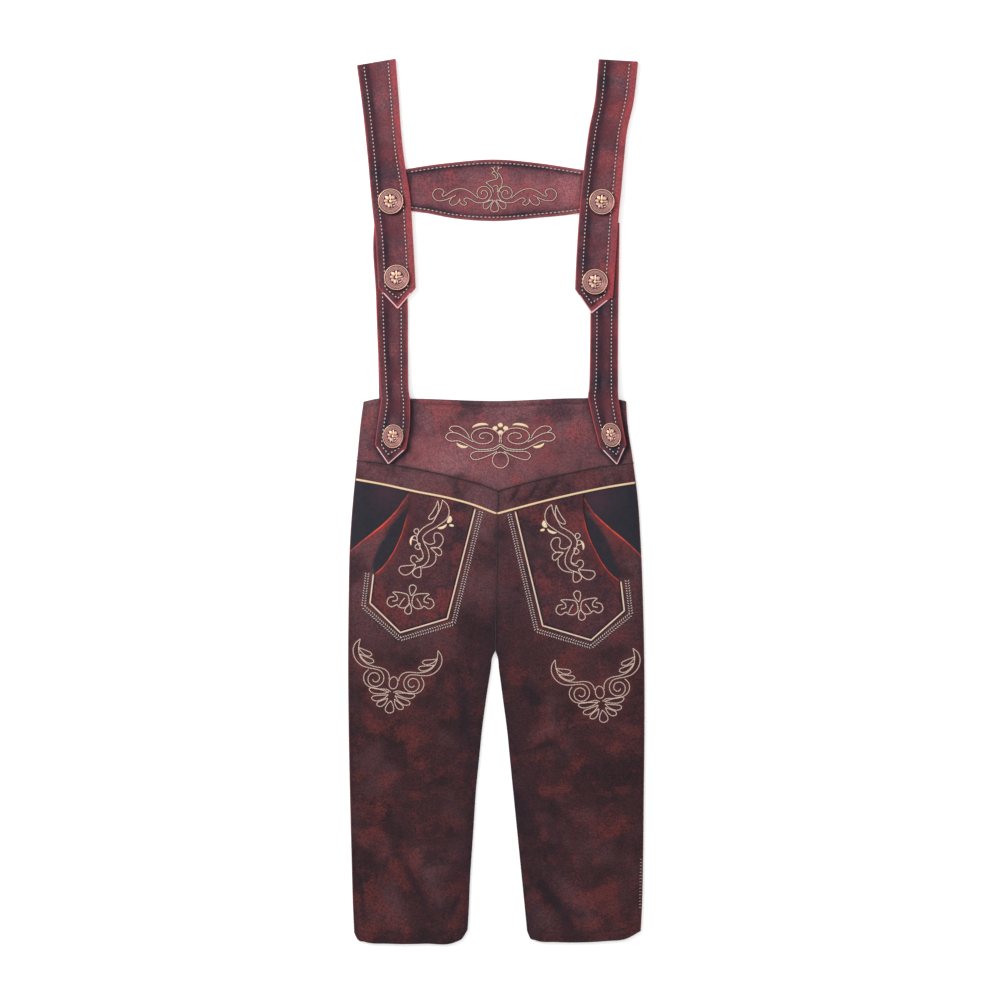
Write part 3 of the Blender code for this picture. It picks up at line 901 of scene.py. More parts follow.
@dataclass(frozen=True)
class YarnFinish(Finish):
    """Satin yarn, as in a stitch or a cord."""

    light: Ink
    shaded: Ink
    pitch: float = 0.8
    roughness: float = 0.55

    def inputs(self, n: Nodes, effects: Effects) -> dict:
        """Painted shade in the twist's hollows and at the yarn's foot, the lit colour on its plies.

        Args:
            n: the builder of the material's tree.
            effects: the shared groups.

        Returns:
            The values and sockets, by the inputs' names.
        """
        hollow = n.group(effects.twist, {"Pitch": self.pitch})["Hollow"]
        share = n.times(n.plus(n.times(hollow, 0.5), 0.5), n.ramp(n.attribute("edge"), 0.0, 0.9))
        return {
            "Base Color": n.mix(share, colour(self.shaded), colour(self.light)),
            "Normal": n.bump(hollow, 0.4, 0.2 * MM), "Roughness": self.roughness, "Sheen Weight": 0.1,
        }


@dataclass(frozen=True)
class MetalFinish(Finish):
    """Antique metal: bright on what is raised and dark in its hollows."""

    bright: Ink = (250, 210, 172)
    worn: Ink = (184, 134, 130)
    patina: Ink = (66, 42, 54)

    def inputs(self, n: Nodes, effects: Effects) -> dict:
        """Three tones by height, with a spotted patina.

        Args:
            n: the builder of the material's tree.
            effects: the shared groups.

        Returns:
            The values and sockets, by the inputs' names.
        """
        spots = n.times(n.math("SUBTRACT", n.noise(2.2, 4, 0.65, 13), 0.5), 0.5)
        raised = n.plus(n.attribute("raised"), spots)
        shown = n.mix(n.ramp(raised, 0.04, 0.36), colour(self.patina), colour(self.worn))
        return {
            "Base Color": n.mix(n.ramp(raised, 0.55, 0.9), shown, colour(self.bright)),
            "Roughness": n.ramp(raised, 0.2, 0.9, 0.6, 0.36),
            "Normal": n.bump(n.noise(0.8, 3, 0.6, 14), 0.2, 0.2 * MM), "Metallic": 0.6,
        }


class FloorFinish(Finish):
    """A pale matt floor, lit a little from below as a light table is."""

    def inputs(self, n: Nodes, effects: Effects) -> dict:
        """Plain numbers."""
        glow = {"Emission Color": (1, 1, 1, 1), "Emission Strength": 0.3}
        return {"Base Color": (0.92, 0.92, 0.92, 1), "Roughness": 0.9, **glow}


PRINT_DEFAULTS = {
    "wash": 0.0, "air": 0.0, "rosy": 0.0, "rim": 0.0, "hollow": 0.0, "thin": 0.0, "lift": 0.0, "hip": -50.0,
    "ember": 50.0, "burn": 0.0,
}


class Wardrobe:
    """Every finish of the garment, made once."""

    def __init__(self) -> None:
        """Builds the shared groups and the materials."""
        effects = Effects()
        made = (
            ClothFinish(
                "waist suede", (107, 70, 76), (130, 66, 69), (72, 49, 57), (136, 89, 95), 0.8, 0.9, 0.85,
                wash=(142, 60, 64),
            ),
            ClothFinish("leg suede", (57, 34, 38), (94, 44, 44), (37, 26, 31), (100, 67, 73), 0.75, 0.65),
            ClothFinish("pocket suede", (66, 43, 49), (106, 50, 52), (50, 37, 44), redness=0.72),
            ClothFinish(
                "strap suede", (104, 69, 77), (134, 67, 71), (68, 48, 57), (126, 82, 89), air=(34, 31, 42),
            ),
            ClothFinish(
                "chest suede", (118, 74, 81), (144, 68, 72), (84, 54, 63), (152, 93, 99), 0.95, 0.6,
                wash=(150, 66, 70), air=(36, 31, 42),
            ),
            ClothFinish("plain suede", (60, 38, 42), (90, 44, 44), (43, 30, 34)),
            YarnFinish("embroidery yarn", (252, 232, 216), (202, 156, 142)),
            YarnFinish("satin yarn", (255, 240, 208), (226, 192, 150), 0.5),
            YarnFinish("strap yarn", (240, 226, 218), (160, 132, 130)),
            YarnFinish("seam yarn", (60, 34, 39), (36, 22, 27)),
            YarnFinish("shadow yarn", (58, 26, 31), (50, 24, 30)),
            YarnFinish("gold cord", (252, 226, 182), (150, 98, 72), 1.2),
            YarnFinish("cream cord", (246, 228, 204), (136, 92, 80), 1.2),
            MetalFinish("antique copper"),
        )
        self.material = {finish.name: finish.build(effects) for finish in made}

    def dress(self, obj: Object, finish: str, node: str | None = None) -> None:
        """Gives a piece its material and ties it to the frame.

        Args:
            obj: the piece.
            finish: the name of its finish.
            node: the frame's solid that it stands for, if any.
        """
        obj.data.materials.append(self.material[finish])
        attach(obj, "root")
        if node:
            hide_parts(node)
        log.info("%s: %d vertices", obj.name, len(obj.data.vertices))

    def cloth(
        self, node: str, grid: Grid, finish: str,
        masks: Callable[[Array], Masks] | None = None,
    ) -> None:
        """Makes a sheet of cloth in the place of one of the frame's solids.

        Args:
            node: the solid that it stands for.
            grid: its cut.
            finish: the name of its finish.
            masks: gives the masks of its print for its vertices' places.
        """
        obj = slab(f"{node}_cloth", grid)
        given = masks(vertex_places(obj) / MM) if masks else {}
        for name, plain in PRINT_DEFAULTS.items():
            paint(obj, name, given.get(name, np.full(len(obj.data.vertices), plain)))
        self.dress(obj, finish, node)
        width, length = (float(side) * MM + 0.001 for side in np.ptp(grid.outline, axis=0))


@dataclass
class Stitching:
    """Stitches gathered for one piece of sewing, each a small raised grain of yarn."""

    name: str
    rows: list[Array] = field(default_factory=list)

    def add(self, places: Array, ways: Array, size: Triple, turn: float = 0.0) -> None:
        """Adds stitches.

        Args:
            places: their middles on the cloth's face, as rows of (x, y, z).
            ways: their directions.
            size: their length, width and full thickness, of which most stands up from the cloth.
            turn: how far each leans off its direction, in degrees.
        """
        ways = np.pad(ways, ((0, 0), (0, 3 - ways.shape[1])))
        leaned = np.column_stack([turned(ways, turn), ways[:, 2]])
        sizes = np.column_stack([np.broadcast_to(side, len(places)) for side in size]) / 2
        self.rows.append(np.hstack([places + (0, 0, size[2] * 0.3), leaned, sizes]))

    def run(
        self, line: Array, pitch: float, size: Triple, turn: float = 0.0, top: Callable = FORM.top,
    ) -> None:
        """Sews along a flat line on a surface whose height is given by top.

        Args:
            line: the line.
            pitch: the distance from stitch to stitch.
            size: a stitch's length, width and thickness.
            turn: how far each leans, in degrees.
            top: gives the surface's height.
        """
        places, ways = walk(line, pitch)
        here, ahead = on_top(top, places), on_top(top, places + ways)
        self.add(here, unit(ahead - here), size, turn)

    def wheat_ear(
        self, line: Array, pitch: float, lean: float, reach: float = 2.1, size: float = 1.0,
    ) -> None:
        """Sews a double row of slanted stitches, like an ear of wheat.

        Args:
            line: the row's middle.
            pitch: the distance from one pair to the next.
            lean: how far each stitch leans off the line, in degrees.
            reach: how far each row is from the line.
            size: over 1 for the flat darker stitches that shade the others.
        """
        for a, b in zip(line[:-1], line[1:]):
            places, ways = walk(np.array([a, b]), pitch)
            for side in (-1, 1):
                at = on_top(FORM.top, places + turned(ways, 90) * reach * side)
                self.add(at, ways, (3.6 * size, 1.4 * size, 0.5 if size > 1 else 1.2), lean * side)

    def build(self) -> Object:
        """Makes one mesh of all the stitches, each a copy of one rounded grain.

        Returns:
            The piece.
        """
        seed = bmesh.new()
        bmesh.ops.create_uvsphere(seed, u_segments=6, v_segments=4, radius=1.0)
        bmesh.ops.rotate(seed, verts=seed.verts, cent=(0, 0, 0), matrix=Matrix.Rotation(math.pi / 2, 3, "Y"))
        grain = np.array([v.co[:] for v in seed.verts])
        grain[:, 0] = np.sign(grain[:, 0]) * np.abs(grain[:, 0]) ** 0.8
        stitch = bpy.data.meshes.new(f"{self.name}_grain")
        seed.to_mesh(stitch)
        seed.free()
        centres, ways, sizes = np.hsplit(np.vstack(self.rows), (3, 6))
        across = unit(np.cross((0, 0, 1), ways))
        axes = np.stack([ways, across, np.cross(ways, across)], axis=1) * sizes[..., None]
        sewn = bmesh.new()
        for places in (grain @ axes + centres[:, None]) * MM:
            stitch.vertices.foreach_set("co", places.ravel())
            sewn.from_mesh(stitch)
        bpy.data.meshes.remove(stitch)
        obj = make_piece(self.name, sewn)
        # painted shade: each grain darker towards its ends and sides, at the yarn's foot
        paint(obj, "edge", np.tile(1.1 * (1 - np.hypot(grain[:, 1], grain[:, 0]) * 0.75), len(centres)))
        return obj

    def sew(self, wardrobe: Wardrobe, yarn: str, slot: str = "cream_piping") -> None:
        """Makes the stitches in their yarn."""
        wardrobe.dress(self.build(), yarn)


def halo_of(motifs: Sequence[Motif], xy: Array) -> Array:
    """How near each place is to any of the motifs."""
    return np.max([motif.halo(xy) for motif in motifs], axis=0)


@dataclass
class Waistband:
    """The shaped band round the waist, front and back."""

    tabs: Sequence[Array]
    step: float = 2.5
    tab_shadow: float = 5.0
    tab_cast: Pair = (2.6, -2.4)

    def grid(self, front: bool) -> Grid:
        """The band's cloth.

        Args:
            front: whether it is the front one.

        Returns:
            The cut.
        """
        step = self.step if front else 2 * self.step
        flat = between(tuple(SIDE_SEAM.values()), (WAIST_TOP, waist_seam), (410, 112), step)
        return panel(flat, FORM.top if front else back_top, CLOTH)

    def masks(self, places: Array, motif: Motif) -> Masks:
        """Painted shade beside the tabs, along the seams, in the topstitching's groove and at the sides, and
        the red print about the embroidery.

        Args:
            places: its vertices' places.
            motif: the embroidery that lies on it.

        Returns:
            The masks, by name.
        """
        xy = places[:, :2]
        x, y = xy.T
        sides = np.minimum(x - SIDE_SEAM[Hand.LEFT](y), SIDE_SEAM[Hand.RIGHT](y) - x)
        # painted shade: the tabs' cast shadows, and darker under the seam, in the topstitching's groove and
        # at the sides
        cast = [1.2 * fade(np.abs(far_from(xy - self.tab_cast, tab)), self.tab_shadow) for tab in self.tabs]
        air = deepest(
            *cast, 0.55 * fade(y - waist_seam(x), 3.0), 0.34 * bell(WAIST_TOP(x) - y - FORM.top_stitch, 2.2),
            0.35 * fade(np.abs(sides - 2), 9), 0.26 * ease((x - 40) / 120) * ease((120 - y) / 50),
        )
        glow = 0.3 * bell(np.hypot((x + 118) / 1.2, y - 76), 26)
        glow = glow + 0.25 * bell(np.hypot((x - 72) / 1.6, y - 62), 24)
        return {
            "air": air, "wash": np.maximum(0.42 * motif.halo(xy), glow),
            "rim": 0.25 * (sides < 8) * (y < 130), "lift": 0.85 * bell(np.hypot((x + 80) / 1.4, y - 58), 42),
        }

    def build(self, wardrobe: Wardrobe, motif: Motif) -> None:
        """Makes both bands, the front one with its print and topstitching.

        Args:
            wardrobe: the garment's finishes.
            motif: the embroidery that lies on it.
        """
        wardrobe.cloth("back_waistband", self.grid(False), "plain suede")
        wardrobe.cloth(
            "front_waistband", self.grid(True), "waist suede",
            lambda places: self.masks(places, motif),
        )
        seam = Stitching("waistband_topstitching")
        xs = np.linspace(-196, 192, 120)
        seam.run(np.column_stack([xs, WAIST_TOP(xs) - FORM.top_stitch]), 3.4, (2.6, 0.7, 0.5))
        xs = np.linspace(SIDE_SEAM[Hand.LEFT](36) + 2, SIDE_SEAM[Hand.RIGHT](36) - 2, 160)
        seam.run(np.column_stack([xs, waist_seam(xs) + 0.2]), 2.4, (3.6, 1.7, 0.9))
        ys = np.linspace(waist_seam(0.0) - 1, CROTCH_Y + 2, 80)
        seam.run(np.column_stack([CENTRE_SEAM(ys), ys]), 2.4, (3.6, 1.5, 0.8))
        seam.sew(wardrobe, "seam yarn", "waistband")


@dataclass
class Leg:
    """One leg, front and back, with its printed hip and its hem."""

    hand: Hand
    hip_edge: tuple[Pair, ...]
    hollow_edge: tuple[Pair, ...]
    faded_at: Pair
    dimmed: float = 0.0
    step: float = 2.5

    def grid(self, front: bool) -> Grid:
        """The leg's cloth.

        Args:
            front: whether it is the front one.

        Returns:
            The cut.
        """
        sides = (SIDE_SEAM[self.hand], lambda y: inner_edge(y, self.hand))[:: -self.hand.sign]
        step = self.step if front else 2.4 * self.step
        flat = between(sides, (lambda x: waist_seam(x) - SEAM_GAP, HEM[self.hand]), (205, 700), step)
        return panel(flat, FORM.top if front else back_top, CLOTH)

    def shading(self, x: Array, y: Array) -> Array:
        """Painted shade: under the waist seam, along the inner edge and towards the crotch, beside the side
        seam, in the hem's grooves and in the troughs of the folds.

        Args:
            x: places across.
            y: places along.

        Returns:
            The shade, from 0 to 1.
        """
        inner = np.abs(x - inner_edge(y, self.hand))
        outer = np.abs(x - SIDE_SEAM[self.hand](y))
        hem = y - HEM[self.hand](x)
        low = ease((-60 - y) / 140)
        # painted shade in grooves, under seams and in the folds' troughs
        return deepest(
            0.65 * fade(waist_seam(x) - y, 3.0), (0.3 + 0.3 * low) * fade(inner, 11 + 12 * low),
            self.dimmed * bell(inner - 18, 18) * ease(-y / 60) * ease((y + 240) / 80),
            0.42 * fade(np.abs(outer - 2.5), 6), 0.55 * bell(hem - FORM.hem_depth, 1.6),
            0.55 * bell(hem - 8.5, 1.6), 0.3 * fade(hem, 7),
            *(0.85 * (fold.rise(x, y) / fold.height) ** 2 for fold in FORM.folds if fold.height < 0),
        )

    def masks(self, places: Array, motif: Motif) -> Masks:
        """The print of the dark hip behind its glowing edge, painted shade from the shading and inside the
        pocket's mouth, and the thigh paler towards the top with painted highlights on the folds' ridges.

        Args:
            places: its vertices' places.
            motif: the embroidery that lies on it.

        Returns:
            The masks, by name.
        """
        xy, sign = places[:, :2], self.hand.sign
        x, y = xy.T
        below = PIPING[self.hand](x) - y
        edge = -sign * far_from(xy, self.hip_edge)
        near = bell(np.hypot(*(xy - self.hip_edge[5]).T), 30)
        outside = edge > 0
        # painted shade inside the pocket's mouth, in the hip's black ink
        shadow = -sign * far_from(xy, self.hollow_edge)
        shadow = ease((shadow + 2) / 9) * (shadow < 60) * ease((y - self.hollow_edge[-1][1] + 6) / 8)
        bag = 0.4 * bell(np.minimum(np.abs(edge), 60), 14) * near * outside
        low = 0.65 * ease((-130 - y) / 70) * ease((115 - np.abs(x)) / 60)
        # painted highlights on the ridges of the folds
        ridge_highlights = [0.36 * fold.rise(x, y) / fold.height for fold in FORM.folds if fold.height > 0]
        return {
            "hip": np.minimum(-edge, below), "thin": 0.8 * bell(np.hypot(*(xy - self.faded_at).T), 25),
            "ember": np.where(below > 0, edge, 50), "burn": 0.32 + 0.68 * near,
            "hollow": np.clip(1.3 * shadow * (below > 0) * outside, 0, 1),
            "wash": np.clip(0.2 * motif.halo(xy) + bag, 0, 1), "air": self.shading(x, y),
            "lift": np.maximum.reduce([(0.87 - 0.17 * sign) * ease((y + 380) / 470) * (1 - low), *ridge_highlights]),
            "rim": 0.2 * (np.abs(x - SIDE_SEAM[self.hand](y)) < 8),
        }

    def build(self, wardrobe: Wardrobe, motif: Motif) -> None:
        """Makes the back and front of the leg and its stitching.

        Args:
            wardrobe: the garment's finishes.
            motif: the embroidery that lies on it.
        """
        side, hem = self.hand.value, HEM[self.hand]
        wardrobe.cloth(f"back_leg_{side}", self.grid(False), "plain suede")
        wardrobe.cloth(
            f"front_leg_{side}", self.grid(True), "leg suede",
            lambda places: self.masks(places, motif),
        )
        seam = Stitching(f"hem_stitching_{side}")
        xs = np.linspace(hem.at[1] + 4, hem.at[-2] - 4, 60)
        seam.run(np.column_stack([xs, hem(xs) + FORM.hem_depth]), 3.2, (2.4, 0.7, 0.5))
        seam.sew(wardrobe, "seam yarn", "leg_cloth")
        if self.hand is Hand.RIGHT:
            trim = Stitching("side_seam_trim")
            ys = np.linspace(-535, -612, 9)
            trim.wheat_ear(np.column_stack([SIDE_SEAM[self.hand](ys) - 3.2, ys]), 4.8, 28.0, 0.9, 0.5)
            trim.sew(wardrobe, "embroidery yarn")


@dataclass
class Pocket:
    """A patch pocket with a scooped mouth, its cord and its two rows of wheat-ear stitches."""

    hand: Hand
    mouth: Curve
    inner: Curve
    floor: Curve
    step: float = 2.2
    cord_width: float = 2.6
    cord_height: float = 1.1
    chevron_offset: float = 11.2
    chevron_pitch: float = 3.7
    chevron_lean: float = 50.0

    def top(self, x: Array, y: Array) -> Array:
        """Height of the pocket's outer face."""
        return FORM.top(x, y) + SEAM_GAP + POCKET_CLOTH

    def grid(self) -> Grid:
        """The pocket's cloth.

        Returns:
            The cut.
        """
        sides = (self.mouth, self.inner)[:: -self.hand.sign]
        flat = between(sides, (lambda x: PIPING[self.hand](x) - 2.5, self.floor), (110, 195), self.step)
        return panel(flat, self.top, POCKET_CLOTH)

    def border(self, offset: float, lift: float) -> list[Pair]:
        """The pocket's sewn edge moved outwards, from the piping down and round to the mouth.

        Args:
            offset: how far outside the cloth's edge it runs.
            lift: how much lower its first point starts.

        Returns:
            Its corners.
        """
        sign = -self.hand.sign
        floor = sorted(zip(self.floor.at, self.floor.value), key=lambda p: sign * -p[0])
        return [
            (self.inner.value[0] + sign * offset, self.inner.at[0] - lift),
            (self.inner.value[-1] + sign * offset, self.inner.at[-1] - offset * 0.8),
            (floor[1][0], floor[1][1] - offset * 1.1),
            (floor[2][0] - sign * offset * 1.1, floor[2][1] - offset * 0.6),
            (self.mouth.value[-2] - sign * (offset + 0.6), self.mouth.at[-2] - 1.0),
        ]

    def masks(self, places: Array, motifs: Sequence[Motif]) -> Masks:
        """The print of the glowing mouth and of red about the embroidery, and painted shade at the sewn edge.

        Args:
            places: its vertices' places.
            motifs: the embroideries that lie on it.

        Returns:
            The masks, by name.
        """
        xy = places[:, :2]
        mouth = np.abs(far_from(xy, list(zip(self.mouth.value[:-1], self.mouth.at[:-1]))))
        sewn = np.abs(far_from(xy, self.border(0.0, 0.0)))
        return {
            "wash": np.clip(0.2 * halo_of(motifs, xy) + 0.2 * bell(mouth, 12), 0, 1), "ember": mouth,
            "burn": 0.6 * ease((-xy[:, 1] - 12) / 30), "air": 0.5 * fade(sewn, 2.0),
            "lift": 0.25 * ease((xy[:, 1] - self.floor.value[1]) / 190),
        }

    def build(self, wardrobe: Wardrobe, motifs: Sequence[Motif]) -> None:
        """Makes the pocket, its cord and its border stitches.

        Args:
            wardrobe: the garment's finishes.
            motifs: the embroideries that lie on it.
        """
        side = self.hand.value
        wardrobe.cloth(
            f"pocket_{side}", self.grid(), "pocket suede",
            lambda places: self.masks(places, motifs),
        )
        clear = self.cord_width / 2 + SEAM_GAP + 0.5
        node = f"pocket_piping_{side}"
        cord = lay_cord(node, np.array(self.border(clear, 2.0)), self.cord_width, self.cord_height)
        wardrobe.dress(cord, "cream cord", node)
        line = np.array(self.border(self.chevron_offset, 5.5))
        line[-1, 1] += 2
        for kind, yarn, shift, size in (
            ("chevrons", "strap yarn", (0, 0), 1.0), ("chevron_shade", "shadow yarn", (-0.5, -0.7), 1.25),
        ):
            ears = Stitching(f"pocket_{kind}_{side}")
            ears.wheat_ear(line + shift, self.chevron_pitch, self.chevron_lean, size=size)
            ears.sew(wardrobe, yarn)


def lay_cord(node: str, line: Array, width: float, height: float) -> Object:
    """Lays a domed cord on the front's cloth.

    Args:
        node: the solid that it stands for.
        line: its middle, seen from above.
        width: its width.
        height: its height.

    Returns:
        The cord.
    """
    points = [line[0]]
    for a, b in zip(line[:-1], line[1:]):
        count = max(1, math.ceil(np.linalg.norm(b - a) / 3.0))
        points += [a + (b - a) * i / count for i in range(1, count + 1)]
    across = turned(unit(np.gradient(np.array(points), axis=0)), -90)
    arc = np.linspace(0, math.pi, 11)
    flat = np.array(points)[:, None] - across[:, None] * (np.cos(arc) * width / 2)[:, None]
    z = FORM.top(flat[..., 0], flat[..., 1]) + SEAM_GAP + 0.1 + np.sin(arc) ** 0.8 * height * 0.8
    return slab(f"{node}_cord", Grid(np.dstack([flat, z]), flat, 0.3))


@dataclass
class HipPiping:
    """The gold cord from the side seam down to the centre."""

    hand: Hand
    width: float = 3.4
    height: float = 1.1
    trimmed: Pair = (2.0, 1.1)

    def build(self, wardrobe: Wardrobe) -> None:
        """Makes the cord.

        Args:
            wardrobe: the garment's finishes.
        """
        curve, sign = PIPING[self.hand], -self.hand.sign
        ends = [sign * end for end in self.trimmed[::sign]]
        xs = np.linspace(curve.at[0] + ends[0], curve.at[-1] + ends[1], 74)
        node = f"hip_piping_{self.hand.value}"
        cord = lay_cord(node, np.column_stack([xs, curve(xs)]), self.width, self.height)
        wardrobe.dress(cord, "gold cord", node)


@dataclass
class Ribbon:
    """A strap as rows from its left to its right edge, the height being its underside's."""

    left: Array
    right: Array
    crown: float = 0.45

    @classmethod
    def through(cls, sides: Sequence, bottom: Sequence[float], tip: Pair) -> Ribbon:
        """Rounds a table of rows and adds the pointed end.

        Args:
            sides: the left and the right edge, each as its x and its y at every row.
            bottom: the underside's height at each row.
            tip: the point at the end.

        Returns:
            The ribbon.
        """
        end = np.array([*tip, bottom[-1]])
        return cls(*(
            np.vstack([smooth_line(np.column_stack([x, y, bottom])), end + (half, 0, 0)])
            for half, (x, y) in zip((-0.9, 0.9), sides)
        ))

    @property
    def lengths(self) -> Array:
        """Distance along the middle at each row."""
        return lengths_along((self.left + self.right) / 2)

    def rows_at(self, s: Array) -> list[Array]:
        """Both edges' points at distances along the ribbon."""
        return [read_along(rows, self.lengths, s) for rows in (self.left, self.right)]

    def crowned(self, share: Array | float) -> Array:
        """How far the outer face swells at a share of the width."""
        return self.crown * np.sin(np.pi * share) ** 1.5

    def grid(self, step: float = 2.5) -> Grid:
        """The strap's cloth, with its rows dense at the folds and ends.

        Args:
            step: about how far apart the points are.

        Returns:
            The cut.
        """
        total = self.lengths[-1]
        s = np.unique(np.concatenate([stations(total, step) * total, self.lengths]))
        s = s[np.concatenate([[True], np.diff(s) > 0.15])]
        left, right = self.rows_at(s)
        width = np.linalg.norm(right - left, axis=1)
        u = stations(width.max(), step)
        middle = left[:, None] + (right - left)[:, None] * u[:, None]
        sway = ((left + right) / 2 - (left[0] + right[0]) / 2)[:, 0]
        x = width[:, None] * (u - 0.5) + sway[:, None]
        grid = Grid(middle, np.dstack([x, np.broadcast_to(-s[:, None], x.shape)]), STRAP_CLOTH)
        swell = self.crowned(u) * np.sign(grid.normals()[..., 2])
        middle[..., 2] = np.maximum(middle[..., 2] + swell, 0) + STRAP_CLOTH / 2
        return grid

    def face_point(self, s: float, inset: float, from_left: bool) -> Array:
        """A point of the outer face, a distance in from one edge.

        Args:
            s: how far along the ribbon it is.
            inset: the distance.
            from_left: whether that edge is the left one.

        Returns:
            The point.
        """
        left, right = (rows[0] for rows in self.rows_at(np.array([s])))
        share = inset / np.linalg.norm(right - left)
        share = share if from_left else 1 - share
        return left + (right - left) * share + (0, 0, STRAP_CLOTH + self.crowned(share) - 0.05)

    def end_outline(self, reach: float) -> Array:
        """The flat outline of the last stretch, down its left edge and up its right one."""
        left, right = self.rows_at(np.linspace(self.lengths[-1] - reach, self.lengths[-1], 24))
        return np.vstack([left[:, :2], right[::-1, :2]])


@dataclass
class Strap:
    """The shoulder strap with its run down the back, and the short strap below it."""

    hand: Hand
    upper: Ribbon
    # the run down behind: each row's y, middle, width and underside
    back_rows: tuple[tuple[float, ...], ...]
    lower: Ribbon
    insets: Pair
    lower_insets: Pair = (10.0, 10.0)
    tab_air: float = 0.2
    dash: Triple = (3.1, 1.9, 1.1)
    dash_pitch: float = 5.7

    def whole_upper(self) -> Ribbon:
        """The upper strap from its point, over the shoulder's fold and down behind.

        Returns:
            The ribbon.
        """
        y, x, width, z = np.array(self.back_rows, float).T
        radius = self.upper.left[0, 2] / 2
        angles = np.linspace(0, math.pi, 17)[1:]
        over = np.column_stack([np.zeros(16), radius * np.sin(angles), -radius * (1 - np.cos(angles))])
        return Ribbon(*(
            np.vstack([edge[::-1], edge[0] + over, smooth_line(np.column_stack([x + half * width, y, z]))])
            for edge, half in ((self.upper.left, -0.5), (self.upper.right, 0.5))
        ))

    def stitch_path(self, ribbon: Ribbon, insets: Pair, point: float) -> Array:
        """The dashes' line: down one side, round the pointed end and up the other.

        Args:
            ribbon: the strap that they lie on, ending in its tip.
            insets: distances from the left and the right edge.
            point: how far the line's own point is from the tip.

        Returns:
            The line's points.
        """
        s = np.linspace(1.0, ribbon.lengths[-2] + 1.0, 80)
        down = [ribbon.face_point(v, insets[0], True) for v in s]
        up = [ribbon.face_point(v, insets[1], False) for v in s[::-1]]
        tip = (ribbon.left[-1] + ribbon.right[-1]) / 2 + (0, point, STRAP_CLOTH + ribbon.crown)
        return np.array([*down, tip, *up])

    def masks(self, places: Array, grid: Grid, shown: float, tabbed: bool) -> Masks:
        """The strap's sprayed print, alike on both faces, with painted shadows round the buttons and a
        painted highlight on the edges near the tip.

        Args:
            places: the vertices' places.
            grid: the strap's cloth.
            shown: the length of it whose outer face is seen.
            tabbed: whether this is the short strap.

        Returns:
            The masks by name.
        """
        x, s = grid.flat[..., 0], -grid.flat[..., 1]
        left, right = np.abs(x - x[:, :1]), np.abs(x - x[:, -1:])
        outer = s < shown
        wave = 0.5 + 0.5 * np.sin(s / 31 + 2.0 + self.hand.sign) * np.sin(s / 12 + 0.6)
        inset, other = self.lower_insets if tabbed else self.insets
        margin = np.where(s < shown * 0.45, 0.45, 0.78) * ease((left - 1.0) / 2.5)
        dark = np.where(left < inset - 1, margin, 1.0) * fade(np.maximum(left - inset - 6, 0), 3 + 7 * wave)
        inner = ease((right - other + 1.0) / 2) * fade(np.maximum(right - other - 1, 0), 3)
        inner = np.maximum(inner, 0.7 * tabbed * ease((right - 1.0) / 2.5) * (right < other))
        air = np.maximum((0.85 + 0.15 * wave) * dark, (0.75 if tabbed else 0.5) * inner)
        x, y, z = np.moveaxis(grid.middle, 2, 0)
        # painted shadow of each button, a little to its lower right
        for _, centre, across, along, *_ in BUTTONS:
            spot = np.hypot((x - centre[0] - 1.6) / across, (y - centre[1] + 2.0) / along)
            air = np.maximum(air, 0.95 * ease((1.2 - spot) / 0.2) * (z > 3))
        bright = (0.08 if tabbed else 0.5) + 0.3 * wave
        edge = grid.edge_distance()
        tip = s.max() - s if tabbed else s - s.min()
        # the rim past 1 near the tip paints a highlight on the edges
        made = {
            "air": np.minimum(air + tabbed * self.tab_air, 1.0), "wash": 0.25 * wave,
            "rosy": np.maximum(0.15 * wave, bright * ease((other - 1.5 - right) / 3)),
            "rim": np.maximum((0.5 + 0.3 * wave) * (edge < 7), 1.45 * (tip < 24) * (edge < 9)),
        }
        number = nearest(grid.middle.reshape(-1, 3), places)[0]
        return {name: (mask * outer).reshape(-1)[number] for name, mask in made.items()}

    def build(self, wardrobe: Wardrobe) -> None:
        """Makes both straps and their dashes.

        Args:
            wardrobe: the garment's finishes.
        """
        side, shown = self.hand.value, self.upper.lengths[-1] + 2
        grid = self.whole_upper().grid()
        wardrobe.cloth(
            f"shoulder_strap_{side}", grid, "strap suede",
            lambda places: self.masks(places, grid, shown, False),
        )
        tab = self.lower.grid()
        wardrobe.cloth(
            f"lower_strap_{side}", tab, "strap suede",
            lambda places: self.masks(places, tab, math.inf, True),
        )
        sewing = Stitching(f"strap_dashes_{side}")
        for ribbon, insets, point in ((self.upper, self.insets, 15.0), (self.lower, self.lower_insets, 14.5)):
            sewing.add(*walk(self.stitch_path(ribbon, insets, point), self.dash_pitch), self.dash)
        sewing.sew(wardrobe, "strap yarn")


CHEST_X = (-154, -132.8, -106, -68, -7, 66, 104.3, 131.2, 154)


